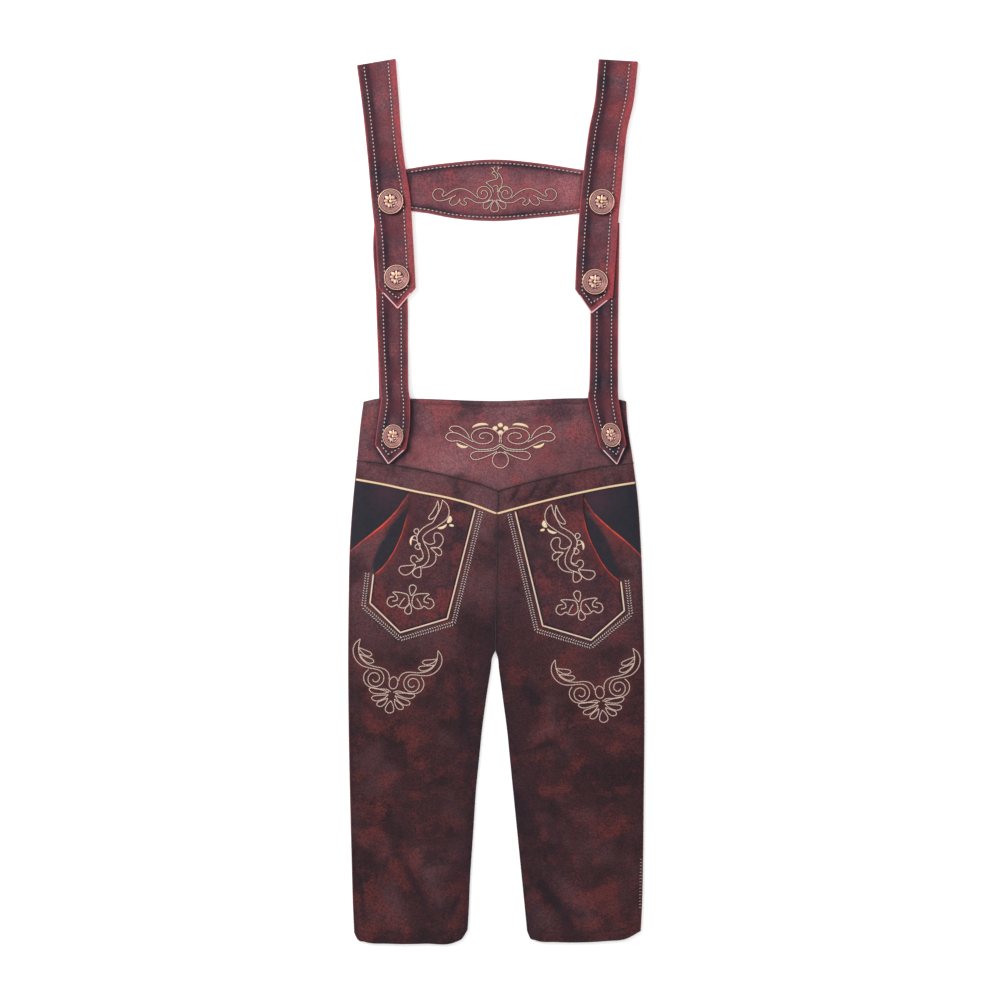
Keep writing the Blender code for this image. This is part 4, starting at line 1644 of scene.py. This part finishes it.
@dataclass
class ChestBand:
    """The wide curved band between the straps."""

    head: Curve = Curve(CHEST_X, (494, 498.8, 503.6, 508.4, 513.2, 507.4, 501.7, 496.9, 492))
    foot: Curve = Curve(CHEST_X, (439.5, 436.3, 432.8, 425.6, 420.8, 426, 429.6, 433.5, 437))
    bottom: Curve = Curve((-154, -132.8, -106, 104.3, 131.2, 154), (2.3, 2.2, 0, 0, 2.2, 2.3), True)
    half_length: float = 154.0
    inset: float = 5.5
    step: float = 2.2
    dash: Triple = (3.9, 1.5, 1.1)
    dash_pitch: float = 6.1

    def top(self, x: Array, y: Array) -> Array:
        """Height of the band's outer face, a little fuller in the middle.

        Args:
            x: places across.
            y: places along.

        Returns:
            The heights.
        """
        centre = (self.head(x) + self.foot(x)) / 2
        full = [np.cos(np.clip(share, -1, 1) * np.pi / 2) for share in ((y - centre) / 44, x / 135)]
        return self.bottom(x) + CLOTH + 1.2 * full[0] * full[1]

    def grid(self) -> Grid:
        """The band's cloth.

        Returns:
            The cut.
        """
        u, v = stations(2 * self.half_length, self.step), stations(80, self.step)[:, None]
        x = self.half_length * (2 * u - 1) + np.zeros_like(v)
        return panel(np.dstack([x, self.head(x) + (self.foot(x) - self.head(x)) * v]), self.top, CLOTH)

    def masks(self, places: Array, motif: Motif) -> Masks:
        """The print, dark inside the dashes and rosy at the edges, with painted shadow beside the straps.

        Args:
            places: its vertices' places.
            motif: the embroidery that lies on it.

        Returns:
            The masks, by name.
        """
        x, y = places[:, :2].T
        high, low = self.head(x) - y, y - self.foot(x)
        edge = np.minimum(high, low)
        dark = ease((edge - self.inset + 1) / 3) * fade(np.maximum(edge - self.inset - 2.5, 0), 4)
        dark = dark * np.where(high < low, 0.95, 0.8 + 0.2 * np.sin(x / 21))
        # painted shadow beside the straps that lie over the band
        strap = np.minimum(np.abs(x + 130), np.abs(x - 129))
        hem = 0.42 * ease((edge - 1.5) / 1.5) * (edge < self.inset)
        return {
            "air": deepest(dark, 0.85 * fade(strap, 4.5), hem), "rosy": 0.15 * ease((self.inset - edge) / 4),
            "wash": 0.45 * motif.halo(places[:, :2]), "rim": 0.5 * (edge < 7),
            "lift": 0.6 * ease((x - 5) / 90),
        }

    def build(self, wardrobe: Wardrobe, motif: Motif) -> None:
        """Makes the band and its dashes.

        Args:
            wardrobe: the garment's finishes.
            motif: the embroidery that lies on it.
        """
        wardrobe.cloth(
            "chest_band", self.grid(), "chest suede",
            lambda places: self.masks(places, motif),
        )
        sewing = Stitching("chest_band_dashes")
        xs = np.linspace(-129, 128, 120)
        for curve, inset in ((self.head, -self.inset), (self.foot, self.inset)):
            sewing.run(np.column_stack([xs, curve(xs) + inset]), self.dash_pitch, self.dash, top=self.top)
        sewing.sew(wardrobe, "strap yarn")


def spiral(centre: Pair, radii: Pair, start: float, turns: float, squash: float = 1.0) -> list[Pair]:
    """Points of a scroll.

    Args:
        centre: its middle.
        radii: its first and its last radius.
        start: the angle that it starts at, in degrees.
        turns: how many turns it makes, negative for clockwise.
        squash: its height over its width.

    Returns:
        The points.
    """
    share = np.linspace(0, 1, max(4, round(abs(turns) * 9)) + 1)
    angle = math.radians(start) + math.tau * turns * share
    radius = radii[0] + (radii[1] - radii[0]) * share**1.2
    x, y = centre[0] + radius * np.cos(angle), centre[1] + radius * squash * np.sin(angle)
    return np.column_stack([x, y]).tolist()


def leaf(base: Pair, tip: Pair, width: float, bend: float = 0.0) -> list[Pair]:
    """A closed leaf or petal, round at its tip and pointed at its base.

    Args:
        base: where it grows from.
        tip: its far end.
        width: how wide it is.
        bend: how far its middle bows sideways.

    Returns:
        Its points, round and back to the base.
    """
    b, along = np.array(base, float), np.subtract(tip, base)
    across = unit(np.array((-along[1], along[0])))
    half = ((0.0, 0.0), (0.3, 0.32), (0.65, 0.5), (0.88, 0.42), (1.0, 0.0))
    shares = [*half, *((s, -w) for s, w in half[-2::-1])]
    bowed = [b + along * s + across * (width * w + bend * math.sin(math.pi * s)) for s, w in shares]
    return np.array(bowed).tolist()


@dataclass(frozen=True)
class Crescent:
    """A satin-stitched crescent: a round dot if its hollow is -1."""

    centre: Pair
    half_width: float
    height: float
    turn: float = 0.0
    hollow: float = 0.35


@dataclass
class Motif:
    """An embroidered ornament, drawn about its own centre and then turned to its place."""

    name: str
    centre: Pair
    top: Callable
    lines: Sequence[Sequence[Pair]]
    mirrored: Sequence[Sequence[Pair]] = ()
    fills: Sequence[Crescent] = ()
    mirrored_fills: Sequence[Crescent] = ()
    flip: bool = False
    turn: float = 0.0
    pitch: float = 2.25
    width: float = 1.85

    def placed(self, points: Array, side: int) -> Array:
        """Points of the drawing at their place on the garment, on its left half if side is -1."""
        return turned(points * (side, 1), self.turn) * (-1 if self.flip else 1, 1) + self.centre

    @staticmethod
    def sided(plain: Sequence, mirrored: Sequence) -> list[tuple]:
        """Every drawing with its side, those that are mirrored with both sides."""
        return [(item, 1) for item in plain] + [(item, side) for item in mirrored for side in (1, -1)]

    def drawn(self) -> list[Array]:
        """Every line, smoothed, mirrored and moved to its place."""
        every = self.sided(self.lines, self.mirrored)
        return [self.placed(smooth_line(line, 8), side) for line, side in every]

    def halo(self, xy: Array) -> Array:
        """How near each point is to the embroidery, from 0 to 1, where the ground is printed redder.

        Args:
            xy: the points.

        Returns:
            The nearness of each.
        """
        points = np.vstack([line[::3] for line in self.drawn()])
        near = np.all((xy > points.min(0) - 22) & (xy < points.max(0) + 22), axis=1)
        out = np.zeros(len(xy))
        out[near] = np.exp(-((nearest(points, xy[near])[1] / 6.0) ** 1.4))
        return out

    def satin(self, sewing: Stitching, fill: Crescent, side: int) -> None:
        """Fills one crescent or dot with close parallel stitches.

        Args:
            sewing: the stitches that it joins.
            fill: the shape.
            side: -1 for its mirror image.
        """
        count = max(5, round(fill.half_width * 2 / 0.85))
        t = (np.arange(count) + 0.5) / count * 2 - 1
        arch = fill.height * np.sqrt(1 - t**2)
        bows = [np.column_stack([t * fill.half_width, share * arch]) for share in (fill.hollow, 1.0)]
        low, high = (self.placed(turned(bow, fill.turn) + fill.centre, side) for bow in bows)
        length = np.linalg.norm(high - low, axis=1)
        sewing.add(on_top(self.top, (low + high) / 2), unit(high - low), (length + 0.6, 1.3, 1.0))

    def build(self, wardrobe: Wardrobe) -> None:
        """Makes the stitched lines, the flat dark stitches of painted shadow beside them and the satin fills.

        Args:
            wardrobe: the garment's finishes.
        """
        sewing, shade = Stitching(f"embroidery_{self.name}"), Stitching(f"shade_{self.name}")
        for line in self.drawn():
            sewing.run(line, self.pitch, (self.pitch * 0.98, self.width, 1.2), 10, self.top)
            shade.run(line, 3.0, (4.4, self.width + 2.0, 0.35), top=self.top)
        sewing.sew(wardrobe, "embroidery yarn")
        shade.sew(wardrobe, "shadow yarn")
        fills = self.sided(self.fills, self.mirrored_fills)
        if fills:
            satin = Stitching(f"satin_{self.name}")
            for fill, side in fills:
                self.satin(satin, fill, side)
            satin.sew(wardrobe, "satin yarn")


def waist_motif() -> Motif:
    """Two facing scrolls with leaves, over a ring.

    Returns:
        The ornament.
    """
    scroll = [(1.5, 6), *spiral((24.5, 14.5), (23.3, 2.8), 170, -1.75, 0.63)]
    under = [(0, 4), (13, -3), (34, -4), (48, 2), (62, 8.5), (75, 8.5), (82, 14), (76, 21), (62, 19), (41, 7)]
    second = [(0, 1), (9, -5), (24, -7), (38, -7.5), (45, -13), (39, -19.5), (24, -16), (5, -7)]
    upper = [(46, 13), (52, 23), (62, 30), (72, 30.5), (76.5, 26.5), (71, 22)]
    return Motif(
        "waist", (6.3, 81.8), FORM.top,
        lines=[spiral((0, -20), (12.0, 12.0), 90, 1.0)],
        mirrored=[scroll, under, second, upper],
        fills=[Crescent((0, 32.4), 3.5, 3.7, 0, -1), Crescent((0, 21.4), 3.4, 3.6, 0, -1)],
        mirrored_fills=[
            Crescent((30, 29.8), 12.0, 5.6, -9, 0.3), Crescent((57, 3.6), 8.6, -5.6, 17, 0.25),
            Crescent((7.9, 27.6), 3.5, 3.7, 0, -1),
        ],
    )


def stem_motif(hand: Hand, centre: Pair, top: Callable) -> Motif:
    """A curling stem with leaves, for the upper pocket.

    Args:
        hand: the side that it is on.
        centre: where its middle goes.
        top: gives the height of the cloth under it.

    Returns:
        The ornament.
    """
    tip = (25, 57)
    stem = [(24, 28), (13, 20), (-2, 11), (-9, 1), (-6, -10), (-1, -20), (0, -30), (-5, -37), (-14, -40)]
    curl = [(-3, -5), (5, -9.5), (13, -7), (12, 1), (14, 7), (22, 6), (26, -3), (20, -13.5), (7, -15.5)]
    hook = [(-5, -30), (-11, -32), (-16, -26.5), (-22, -28), (-22, -35), (-15, -40.5)]
    return Motif(
        f"stem_{hand.value}", centre, top,
        lines=[
            [tip, (32, 50), (35, 39), (31, 28), *beside(stem, 4.4)[2:]],
            [tip, (22, 45), (16.5, 34), *beside(stem, -4.4)[3:]],
            curl, hook, [(15, -24), (14.5, -34), (7, -42), (-6, -45)],
            leaf((18, 56), (5, 28), 8, 4), leaf((7, -15), (23, -25), 9, 2),
            leaf((-15, -40.5), (-40, -49), 14, 3), leaf((-8, -43), (-14, -59), 13, -2),
            leaf((-12, 5), (-15.5, 13.5), 7), leaf((-13, -4), (-20, 1.5), 6.5, -1),
            leaf((-9, -8), (-13, -17), 7.5, -1),
        ],
        fills=[
            Crescent((34, 28), 5.4, -5.6, 68, -0.25), Crescent((24, 18.5), 7.2, -5.0, 22, 0.2),
            Crescent((38.5, 18.8), 3.2, 1.9, -12, -1), Crescent((-19.5, -4), 7.2, 4.6, 74, 0.3),
        ],
        flip=hand is Hand.RIGHT,
    )


def scroll_motif(hand: Hand, centre: Pair, top: Callable) -> Motif:
    """Two hooked leaves between two drops, for the lower pocket.

    Args:
        hand: the side that it is on.
        centre: where its middle goes.
        top: gives the height of the cloth under it.

    Returns:
        The ornament.
    """
    lobe = [(2, -2), (5, 6.5), (15, 9.5), (27, 9.5), (21, 4), (20.5, -2), (27.5, -4)]
    hook = [
        (25, 3), (32.5, 1), (35, -7), (28.5, -12.5), (20.5, -9), (16, -12.5), (9, -13), (3, -8.5), (2, -1),
    ]
    return Motif(
        f"scroll_{hand.value}", centre, top,
        lines=[leaf((0.5, 5.5), (3, 22), 10), leaf((-1, -6), (-4, -22), 10)],
        mirrored=[lobe, hook, [(9, 2), (13.5, -4), (16.5, -10)]],
        flip=hand is Hand.RIGHT, turn=-3,
    )


def thigh_motif(hand: Hand, centre: Pair) -> Motif:
    """A pair of wings over scrolls and a fan of petals.

    Args:
        hand: the side that it is on.
        centre: where its middle goes.

    Returns:
        The ornament.
    """
    inner = [
        (7, 4), (8.5, 11), (13, 16.5), (21, 19.5), (35, 20.5), (47, 24.5), (56, 33), (59.5, 45), (59, 58),
    ]
    outer = [(59, 58), (65.5, 50), (67, 39), (62, 27.5), (52, 19.5), (40, 17)]
    under = [(40, 14.5), (45, 7), (44.5, -2), (38, -9.5), (25, -12.5), (9, -11), (2, -14)]
    return Motif(
        f"thigh_{hand.value}", centre, FORM.top,
        lines=[spiral((0, 0), (6.5, 6.5), -90, 1.0, 1.42), leaf((0, -27), (0, -45.5), 12.5)],
        mirrored=[
            inner, outer + spiral((28.5, 2.5), (14.5, 3.5), 80, 1.7), under,
            leaf((5, -14.5), (34.5, -14.5), 8, -1.5), leaf((5, -18.5), (29, -27.5), 8, -2),
            leaf((5, -24), (19.5, -36.5), 8, -1.5), leaf((60, 45), (38.5, 36.5), 7, 1.5),
            leaf((56.5, 35.5), (34, 27), 7.5, 2),
        ],
        flip=hand is Hand.RIGHT, turn=-8.5, width=1.6,
    )


def chest_motif(top: Callable) -> Motif:
    """Running scrolls under a small deer in outline.

    Args:
        top: gives the height of the cloth under it.

    Returns:
        The ornament.
    """
    over = [
        (25, -0.5), (35, 8), (45, 13), (56, 13.5), (66, 9), (75, 3), (79, 4), (76, 9.5), (81, 13.5),
        (89, 12.5), (93, 5), (88, -3), (78, -4), (66, 0), (58, 4),
    ]
    below = [
        (4, -3), (14, -6.5), (27, -7), (36, -2), (43, 0), (46, -4), (42, -8), (46, -11), (51.5, -7), (52, -1),
    ]
    return Motif(
        "chest", (-2.4, 455.2), top,
        lines=[
            leaf((0, -3.5), (0, -21), 11.5),
            [(-13, 23), (-6, 26), (2, 28), (5, 32), (3, 37), (-1, 40), (-4, 37), (0, 34), (2, 30)],
            [(5, 38), (9, 33), (11.5, 25), (10, 17), (7, 12), (9, 8)],
            [(-13, 23), (-7, 18), (-3, 14), (-2, 8)], [(-2, 17), (2, 19), (5, 16), (4, 9)],
            [(0, 40), (-2, 44), (-5, 46)], [(-2, 44), (1, 47)], [(4, 39), (6, 44), (11, 46)],
            [(6, 44), (5, 47.5)],
        ],
        mirrored=[
            spiral((17, 6.5), (12.6, 2.2), 235, -1.75), over, below,
            [(52, -1), (56, -8), (64, -11), (68, -6), (64, 0)], leaf((2, -3), (16, -15.5), 9, 1.5),
        ],
        pitch=2.0, width=1.45,
    )


@dataclass
class Button:
    """A turned metal button with a thin rim, a ridged border and a raised sprig."""

    name: str
    centre: Pair
    across: float
    along: float
    turn: float
    seat: float
    segments: int = 72
    marks: int = 34
    profile: tuple[Pair, ...] = (
        (0.0, 1.9), (0.3, 1.88), (0.56, 1.84), (0.59, 2.3), (0.62, 2.6), (0.65, 1.8), (0.69, 2.14),
        (0.73, 2.26), (0.78, 2.06), (0.83, 2.22), (0.86, 2.18), (0.885, 1.7), (0.905, 1.74), (0.935, 2.6),
        (0.96, 2.95), (0.985, 2.6), (1.0, 1.8), (1.0, 0.8), (0.95, 0.0), (0.0, 0.0),
    )
    # the sprig's grains: distance and angle from the middle, then turn, length, width and height
    sprig: tuple[tuple[float, ...], ...] = (
        (0.0, 0, 0, 0.12, 0.12, 0.8), (0.3, 91, 0, 0.28, 0.08, 1.0), (0.36, 130, 0, 0.2, 0.17, 0.8),
        (0.36, 52, 0, 0.2, 0.17, 0.8), (0.37, 172, 20, 0.19, 0.15, 0.8), (0.3, 8, 0, 0.28, 0.075, 0.85),
        (0.37, 212, -15, 0.19, 0.14, 0.8), (0.36, 247, 0, 0.22, 0.12, 0.85), (0.34, 277, 0, 0.25, 0.07, 0.8),
        (0.46, 308, 80, 0.17, 0.065, 0.8), (0.27, 318, 80, 0.12, 0.06, 0.75),
        (0.48, 342, 90, 0.12, 0.065, 0.75),
    )

    def build(self, wardrobe: Wardrobe) -> None:
        """Spins the body and raises its ornament.

        Args:
            wardrobe: the garment's finishes.
        """
        bm = bmesh.new()
        verts = [bm.verts.new((r, 0, z)) for r, z in self.profile]
        edges = [bm.edges.new(pair) for pair in zip(verts, verts[1:])]
        bmesh.ops.spin(
            bm, geom=[*verts, *edges], axis=(0, 0, 1), cent=(0, 0, 0), angle=math.tau, steps=self.segments,
            use_merge=True, use_duplicate=False,
        )
        bmesh.ops.remove_doubles(bm, verts=bm.verts, dist=1e-4)
        bmesh.ops.recalc_face_normals(bm, faces=bm.faces)
        body = len(bm.verts)
        for row in self.sprig:
            self._grain(bm, *row)
        for i in range(self.marks):
            self._grain(bm, 0.78, 360 * i / self.marks, (20, 90, -35, 0)[i % 4], 0.045, 0.018, 0.22, (6, 4))
        heights = np.array([v.co.z for v in bm.verts])
        raised = np.interp(heights, (1.9, 2.25, 2.9), (0.0, 0.35, 1.0))
        raised[body:] = 0.35 + 0.5 * np.maximum(heights[body:] - 2.3, 0)
        place = Matrix.Translation((*self.centre, self.seat + SEAM_GAP))
        place = place @ Matrix.Rotation(-math.radians(self.turn), 4, "Z")
        size = Matrix.Diagonal((self.across, self.along, 1.0, 1.0))
        bmesh.ops.transform(bm, matrix=Matrix.Scale(MM, 4) @ place @ size, verts=bm.verts)
        obj = make_piece(f"{self.name}_metal", bm)
        paint(obj, "raised", np.clip(raised, 0, 1))
        wardrobe.dress(obj, "antique copper", self.name)

    @staticmethod
    def _grain(
        bm: bmesh.types.BMesh, radius: float, angle: float, lean: float, length: float, width: float,
        height: float, faces: tuple[int, int] = (10, 6),
    ) -> None:
        """Raises one rounded grain of the ornament.

        Args:
            bm: the button's mesh.
            radius: its distance from the middle.
            angle: its direction from there, in degrees.
            lean: how far it is turned, in degrees.
            length: half its length.
            width: half its width.
            height: half its height.
            faces: its segments round and up.
        """
        made = bmesh.ops.create_uvsphere(bm, u_segments=faces[0], v_segments=faces[1], radius=1.0)["verts"]
        out = Matrix.Rotation(math.radians(angle), 4, "Z") @ Matrix.Translation((radius, 0, 2.3))
        lie = Matrix.Rotation(math.radians(lean), 4, "Z") @ Matrix.Diagonal((length, width, height, 1.0))
        bmesh.ops.transform(bm, matrix=out @ lie, verts=made)


@dataclass
class Studio:
    """The floor, the soft light and the camera straight above."""

    centre: Pair = (5.6, 1.9)
    view_width: float = 1500.0
    lens: float = 100.0
    sensor: float = 36.0
    world: float = 0.5
    floor_drop: float = 0.4
    # each lamp's name, place, size and power
    lamps: tuple = (("overhead", (0.0, 0.2, 3.2), 3.4, 34.0), ("key", (-2.3, 1.7, 1.7), 1.1, 84.0))

    def floor(self) -> None:
        """A wide floor just under the cloth."""
        bm = bmesh.new()
        bmesh.ops.create_grid(bm, x_segments=1, y_segments=1, size=6.0)
        bmesh.ops.translate(bm, vec=(0, 0, -self.floor_drop * MM), verts=bm.verts)
        obj = make_piece("floor", bm)
        obj.data.materials.append(FloorFinish("pale floor").build())

    def lights(self) -> None:
        """An even sky, a broad lamp overhead, and one from the upper left that models the folds."""
        world = bpy.data.worlds.new("studio")
        world.use_nodes = True
        sky = {"Color": (1, 1, 1, 1), "Strength": self.world}
        Nodes(world.node_tree).fill(world.node_tree.nodes["Background"], sky)
        bpy.context.scene.world = world
        for name, place, size, power in self.lamps:
            lamp = bpy.data.lights.new(name, "AREA")
            lamp.shape, lamp.size, lamp.energy = "SQUARE", size, power
            obj = bpy.data.objects.new(name, lamp)
            obj.location = place
            obj.rotation_euler = (-Vector(place)).to_track_quat("-Z", "Y").to_euler()
            bpy.context.scene.collection.objects.link(obj)

    def camera(self) -> None:
        """Looks straight down, with one pixel of a 1000 pixel frame to every 1.5 mm."""
        data = bpy.data.cameras.new("above")
        data.lens, data.sensor_width, data.clip_end = self.lens, self.sensor, 50.0
        obj = bpy.data.objects.new("above", data)
        height = self.view_width * self.lens / self.sensor + 5
        obj.location = Vector((*self.centre, height)) * MM
        bpy.context.scene.collection.objects.link(obj)
        bpy.context.scene.camera = obj

    def build(self) -> None:
        """Sets up the studio."""
        bpy.context.scene.view_settings.view_transform = "Standard"
        self.floor()
        self.lights()
        self.camera()


def make_straps() -> list[Strap]:
    """Both sides' straps with their own tables.

    Returns:
        The left side's and the right side's.
    """
    rise = (3.0, 2.9, 3.0, 3.7, 4.2, 4.6, 4.6, 4.6, 4.6)
    drop = (2.3, 2.3, 2.3, 2.3, 2.3, 5.4, 6.5, 6.5, 6.5, 6.5)
    upper_y = (557, 512, 467, 438, 396, 352)
    lower_y = (378, 320, 285, 232, 175, 160, 149, 112)
    left_upper = (
        ((-208.9, -202, -197, -192.5, -188.5, -185.6, -181.2, -178.5, -177.1), (652, 601, *upper_y, 320)),
        ((-151, -146.5, -143, -138, -130.5, -127.5, -125, -122.5, -120.8), (661.9, 606, *upper_y, 320)),
    )
    right_upper = (
        ((153.5, 148, 139, 133, 127.5, 125, 122, 119.5, 118.2), (661.1, 602, *upper_y, 318)),
        ((212.6, 206.5, 196.5, 191.5, 187.5, 184.5, 181.5, 178.5, 175.3), (657.6, 602, *upper_y, 307.5)),
    )
    left_lower = (
        (
            (-182.6, -184.8, -181.1, -179.8, -177.8, -174.6, -173.6, -173.2, -178.5, -181.9),
            (424, *lower_y, 84.4),
        ),
        ((-141.5, -138.8, -133.9, -132.6, -132.5, -131.8, -130.5, -129, -129.6, -134.9), (424, *lower_y, 79)),
    )
    right_lower = (
        ((143.5, 142, 141.3, 141.2, 140.8, 139.6, 137.8, 138.6, 147, 154.9), (418, *lower_y, 81.4)),
        ((185, 184.6, 183.6, 183.2, 182.7, 182.6, 182.9, 184, 190, 195), (418, *lower_y, 85.3)),
    )
    left_back = (
        (640, -177, 54, 0), (560, -169, 47, 0), (420, -160, 44, 0), (250, -156, 44, 0), (185, -154.5, 44, 0),
        (162, -154, 44, 1.75), (100, -152.5, 44, 1.75),
    )
    right_back = (
        (640, 180, 54, 0), (560, 169, 47, 0), (420, 160, 40, 0), (250, 162.5, 40, 0), (185, 162.5, 40, 0),
        (162, 162.5, 40, 1.75), (100, 161, 40, 1.75),
    )
    through = Ribbon.through
    return [
        Strap(
            Hand.LEFT, through(left_upper, rise, (-147.6, 289.2)), left_back,
            through(left_lower, drop, (-161.6, 56.2)), (10.5, 11.5), tab_air=0.08,
        ),
        Strap(
            Hand.RIGHT, through(right_upper, rise, (143, 282.4)), right_back,
            through(right_lower, drop, (180.8, 55.6)), (10.5, 12.5),
        ),
    ]


def make_pockets() -> list[Pocket]:
    """Both pockets with their own edges.

    Returns:
        The left one and the right one.
    """
    left_mouth = Curve(
        (16, -9, -22, -34.4, -48, -59.6, -75, -89.2, -100, -108, -153),
        (-131, -132, -134.4, -137.8, -142, -146.6, -154, -163, -172, -181.4, -187), True,
    )
    right_mouth = Curve(
        (13, -13.4, -28, -42.8, -60, -76.4, -91, -103.9, -112, -118.6, -165),
        (130.9, 130.9, 132.8, 136.1, 142.5, 150.8, 158.5, 167.6, 176, 184.2, 189.8), True,
    )
    return [
        Pocket(
            Hand.LEFT, left_mouth, Curve((-9, -174.4), (-33.4, -75.4), True),
            Curve((-187, -143.8, -74), (-151.5, -194.6, -173), True),
        ),
        Pocket(
            Hand.RIGHT, right_mouth, Curve((-13, -184.9), (30.6, 71.8), True),
            Curve((70, 142.4, 189.8), (-183.5, -206, -163), True),
        ),
    ]


def make_legs() -> list[Leg]:
    """Both legs with the edges of their printed hips.

    Returns:
        The left one and the right one.
    """
    left_hip = (
        (-122, 26), (-131.3, 11.2), (-139.5, 0.7), (-148, -12), (-159.4, -24.4), (-171.8, -36.2),
        (-184.4, -46.3), (-203.2, -60.7), (-228, -82),
    )
    left_hollow = (
        (-133, -8), (-145, -17), (-155, -29), (-163, -40), (-168, -52), (-175, -62), (-181, -75), (-186, -87),
        (-189, -98), (-187, -107),
    )
    right_hip = (
        (121, 21), (129.8, 7.7), (137, -4), (146, -17), (160, -31), (173.9, -42.8), (186, -52.5), (204, -68),
        (229, -93),
    )
    right_hollow = (
        (131, -12), (143, -22), (156, -38), (166, -53), (173, -70), (179, -87), (184, -100), (188, -112),
        (186, -118),
    )
    return [
        Leg(Hand.LEFT, left_hip, left_hollow, (-163, 12)),
        Leg(Hand.RIGHT, right_hip, right_hollow, (150, 2), dimmed=0.42),
    ]


def main() -> None:
    """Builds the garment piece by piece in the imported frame."""
    logging.basicConfig(level=logging.INFO, format="%(name)s: %(message)s")
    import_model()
    Studio().build()
    wardrobe = Wardrobe()
    pockets, straps, band = make_pockets(), make_straps(), ChestBand()
    waist, chest = waist_motif(), chest_motif(band.top)
    left, right = Hand
    patch = pockets[0].top
    thighs = [thigh_motif(left, (-154.1, -272.6)), thigh_motif(right, (155.4, -286.6))]
    stems = [stem_motif(left, (-105.4, -55.1), patch), stem_motif(right, (108.0, -62.0), patch)]
    scrolls = [scroll_motif(left, (-128.2, -147.4), patch), scroll_motif(right, (124.6, -156.5), patch)]
    Waistband([strap.lower.end_outline(96) for strap in straps]).build(wardrobe, waist)
    for leg, pocket, strap, thigh, *motifs in zip(make_legs(), pockets, straps, thighs, stems, scrolls):
        leg.build(wardrobe, thigh)
        pocket.build(wardrobe, motifs)
        HipPiping(leg.hand).build(wardrobe)
        strap.build(wardrobe)
    band.build(wardrobe, chest)
    for motif in (waist, *thighs, *stems, *scrolls, chest):
        motif.build(wardrobe)
    for button in BUTTONS:
        Button(*button).build(wardrobe)


if __name__ == "__main__":
    main()
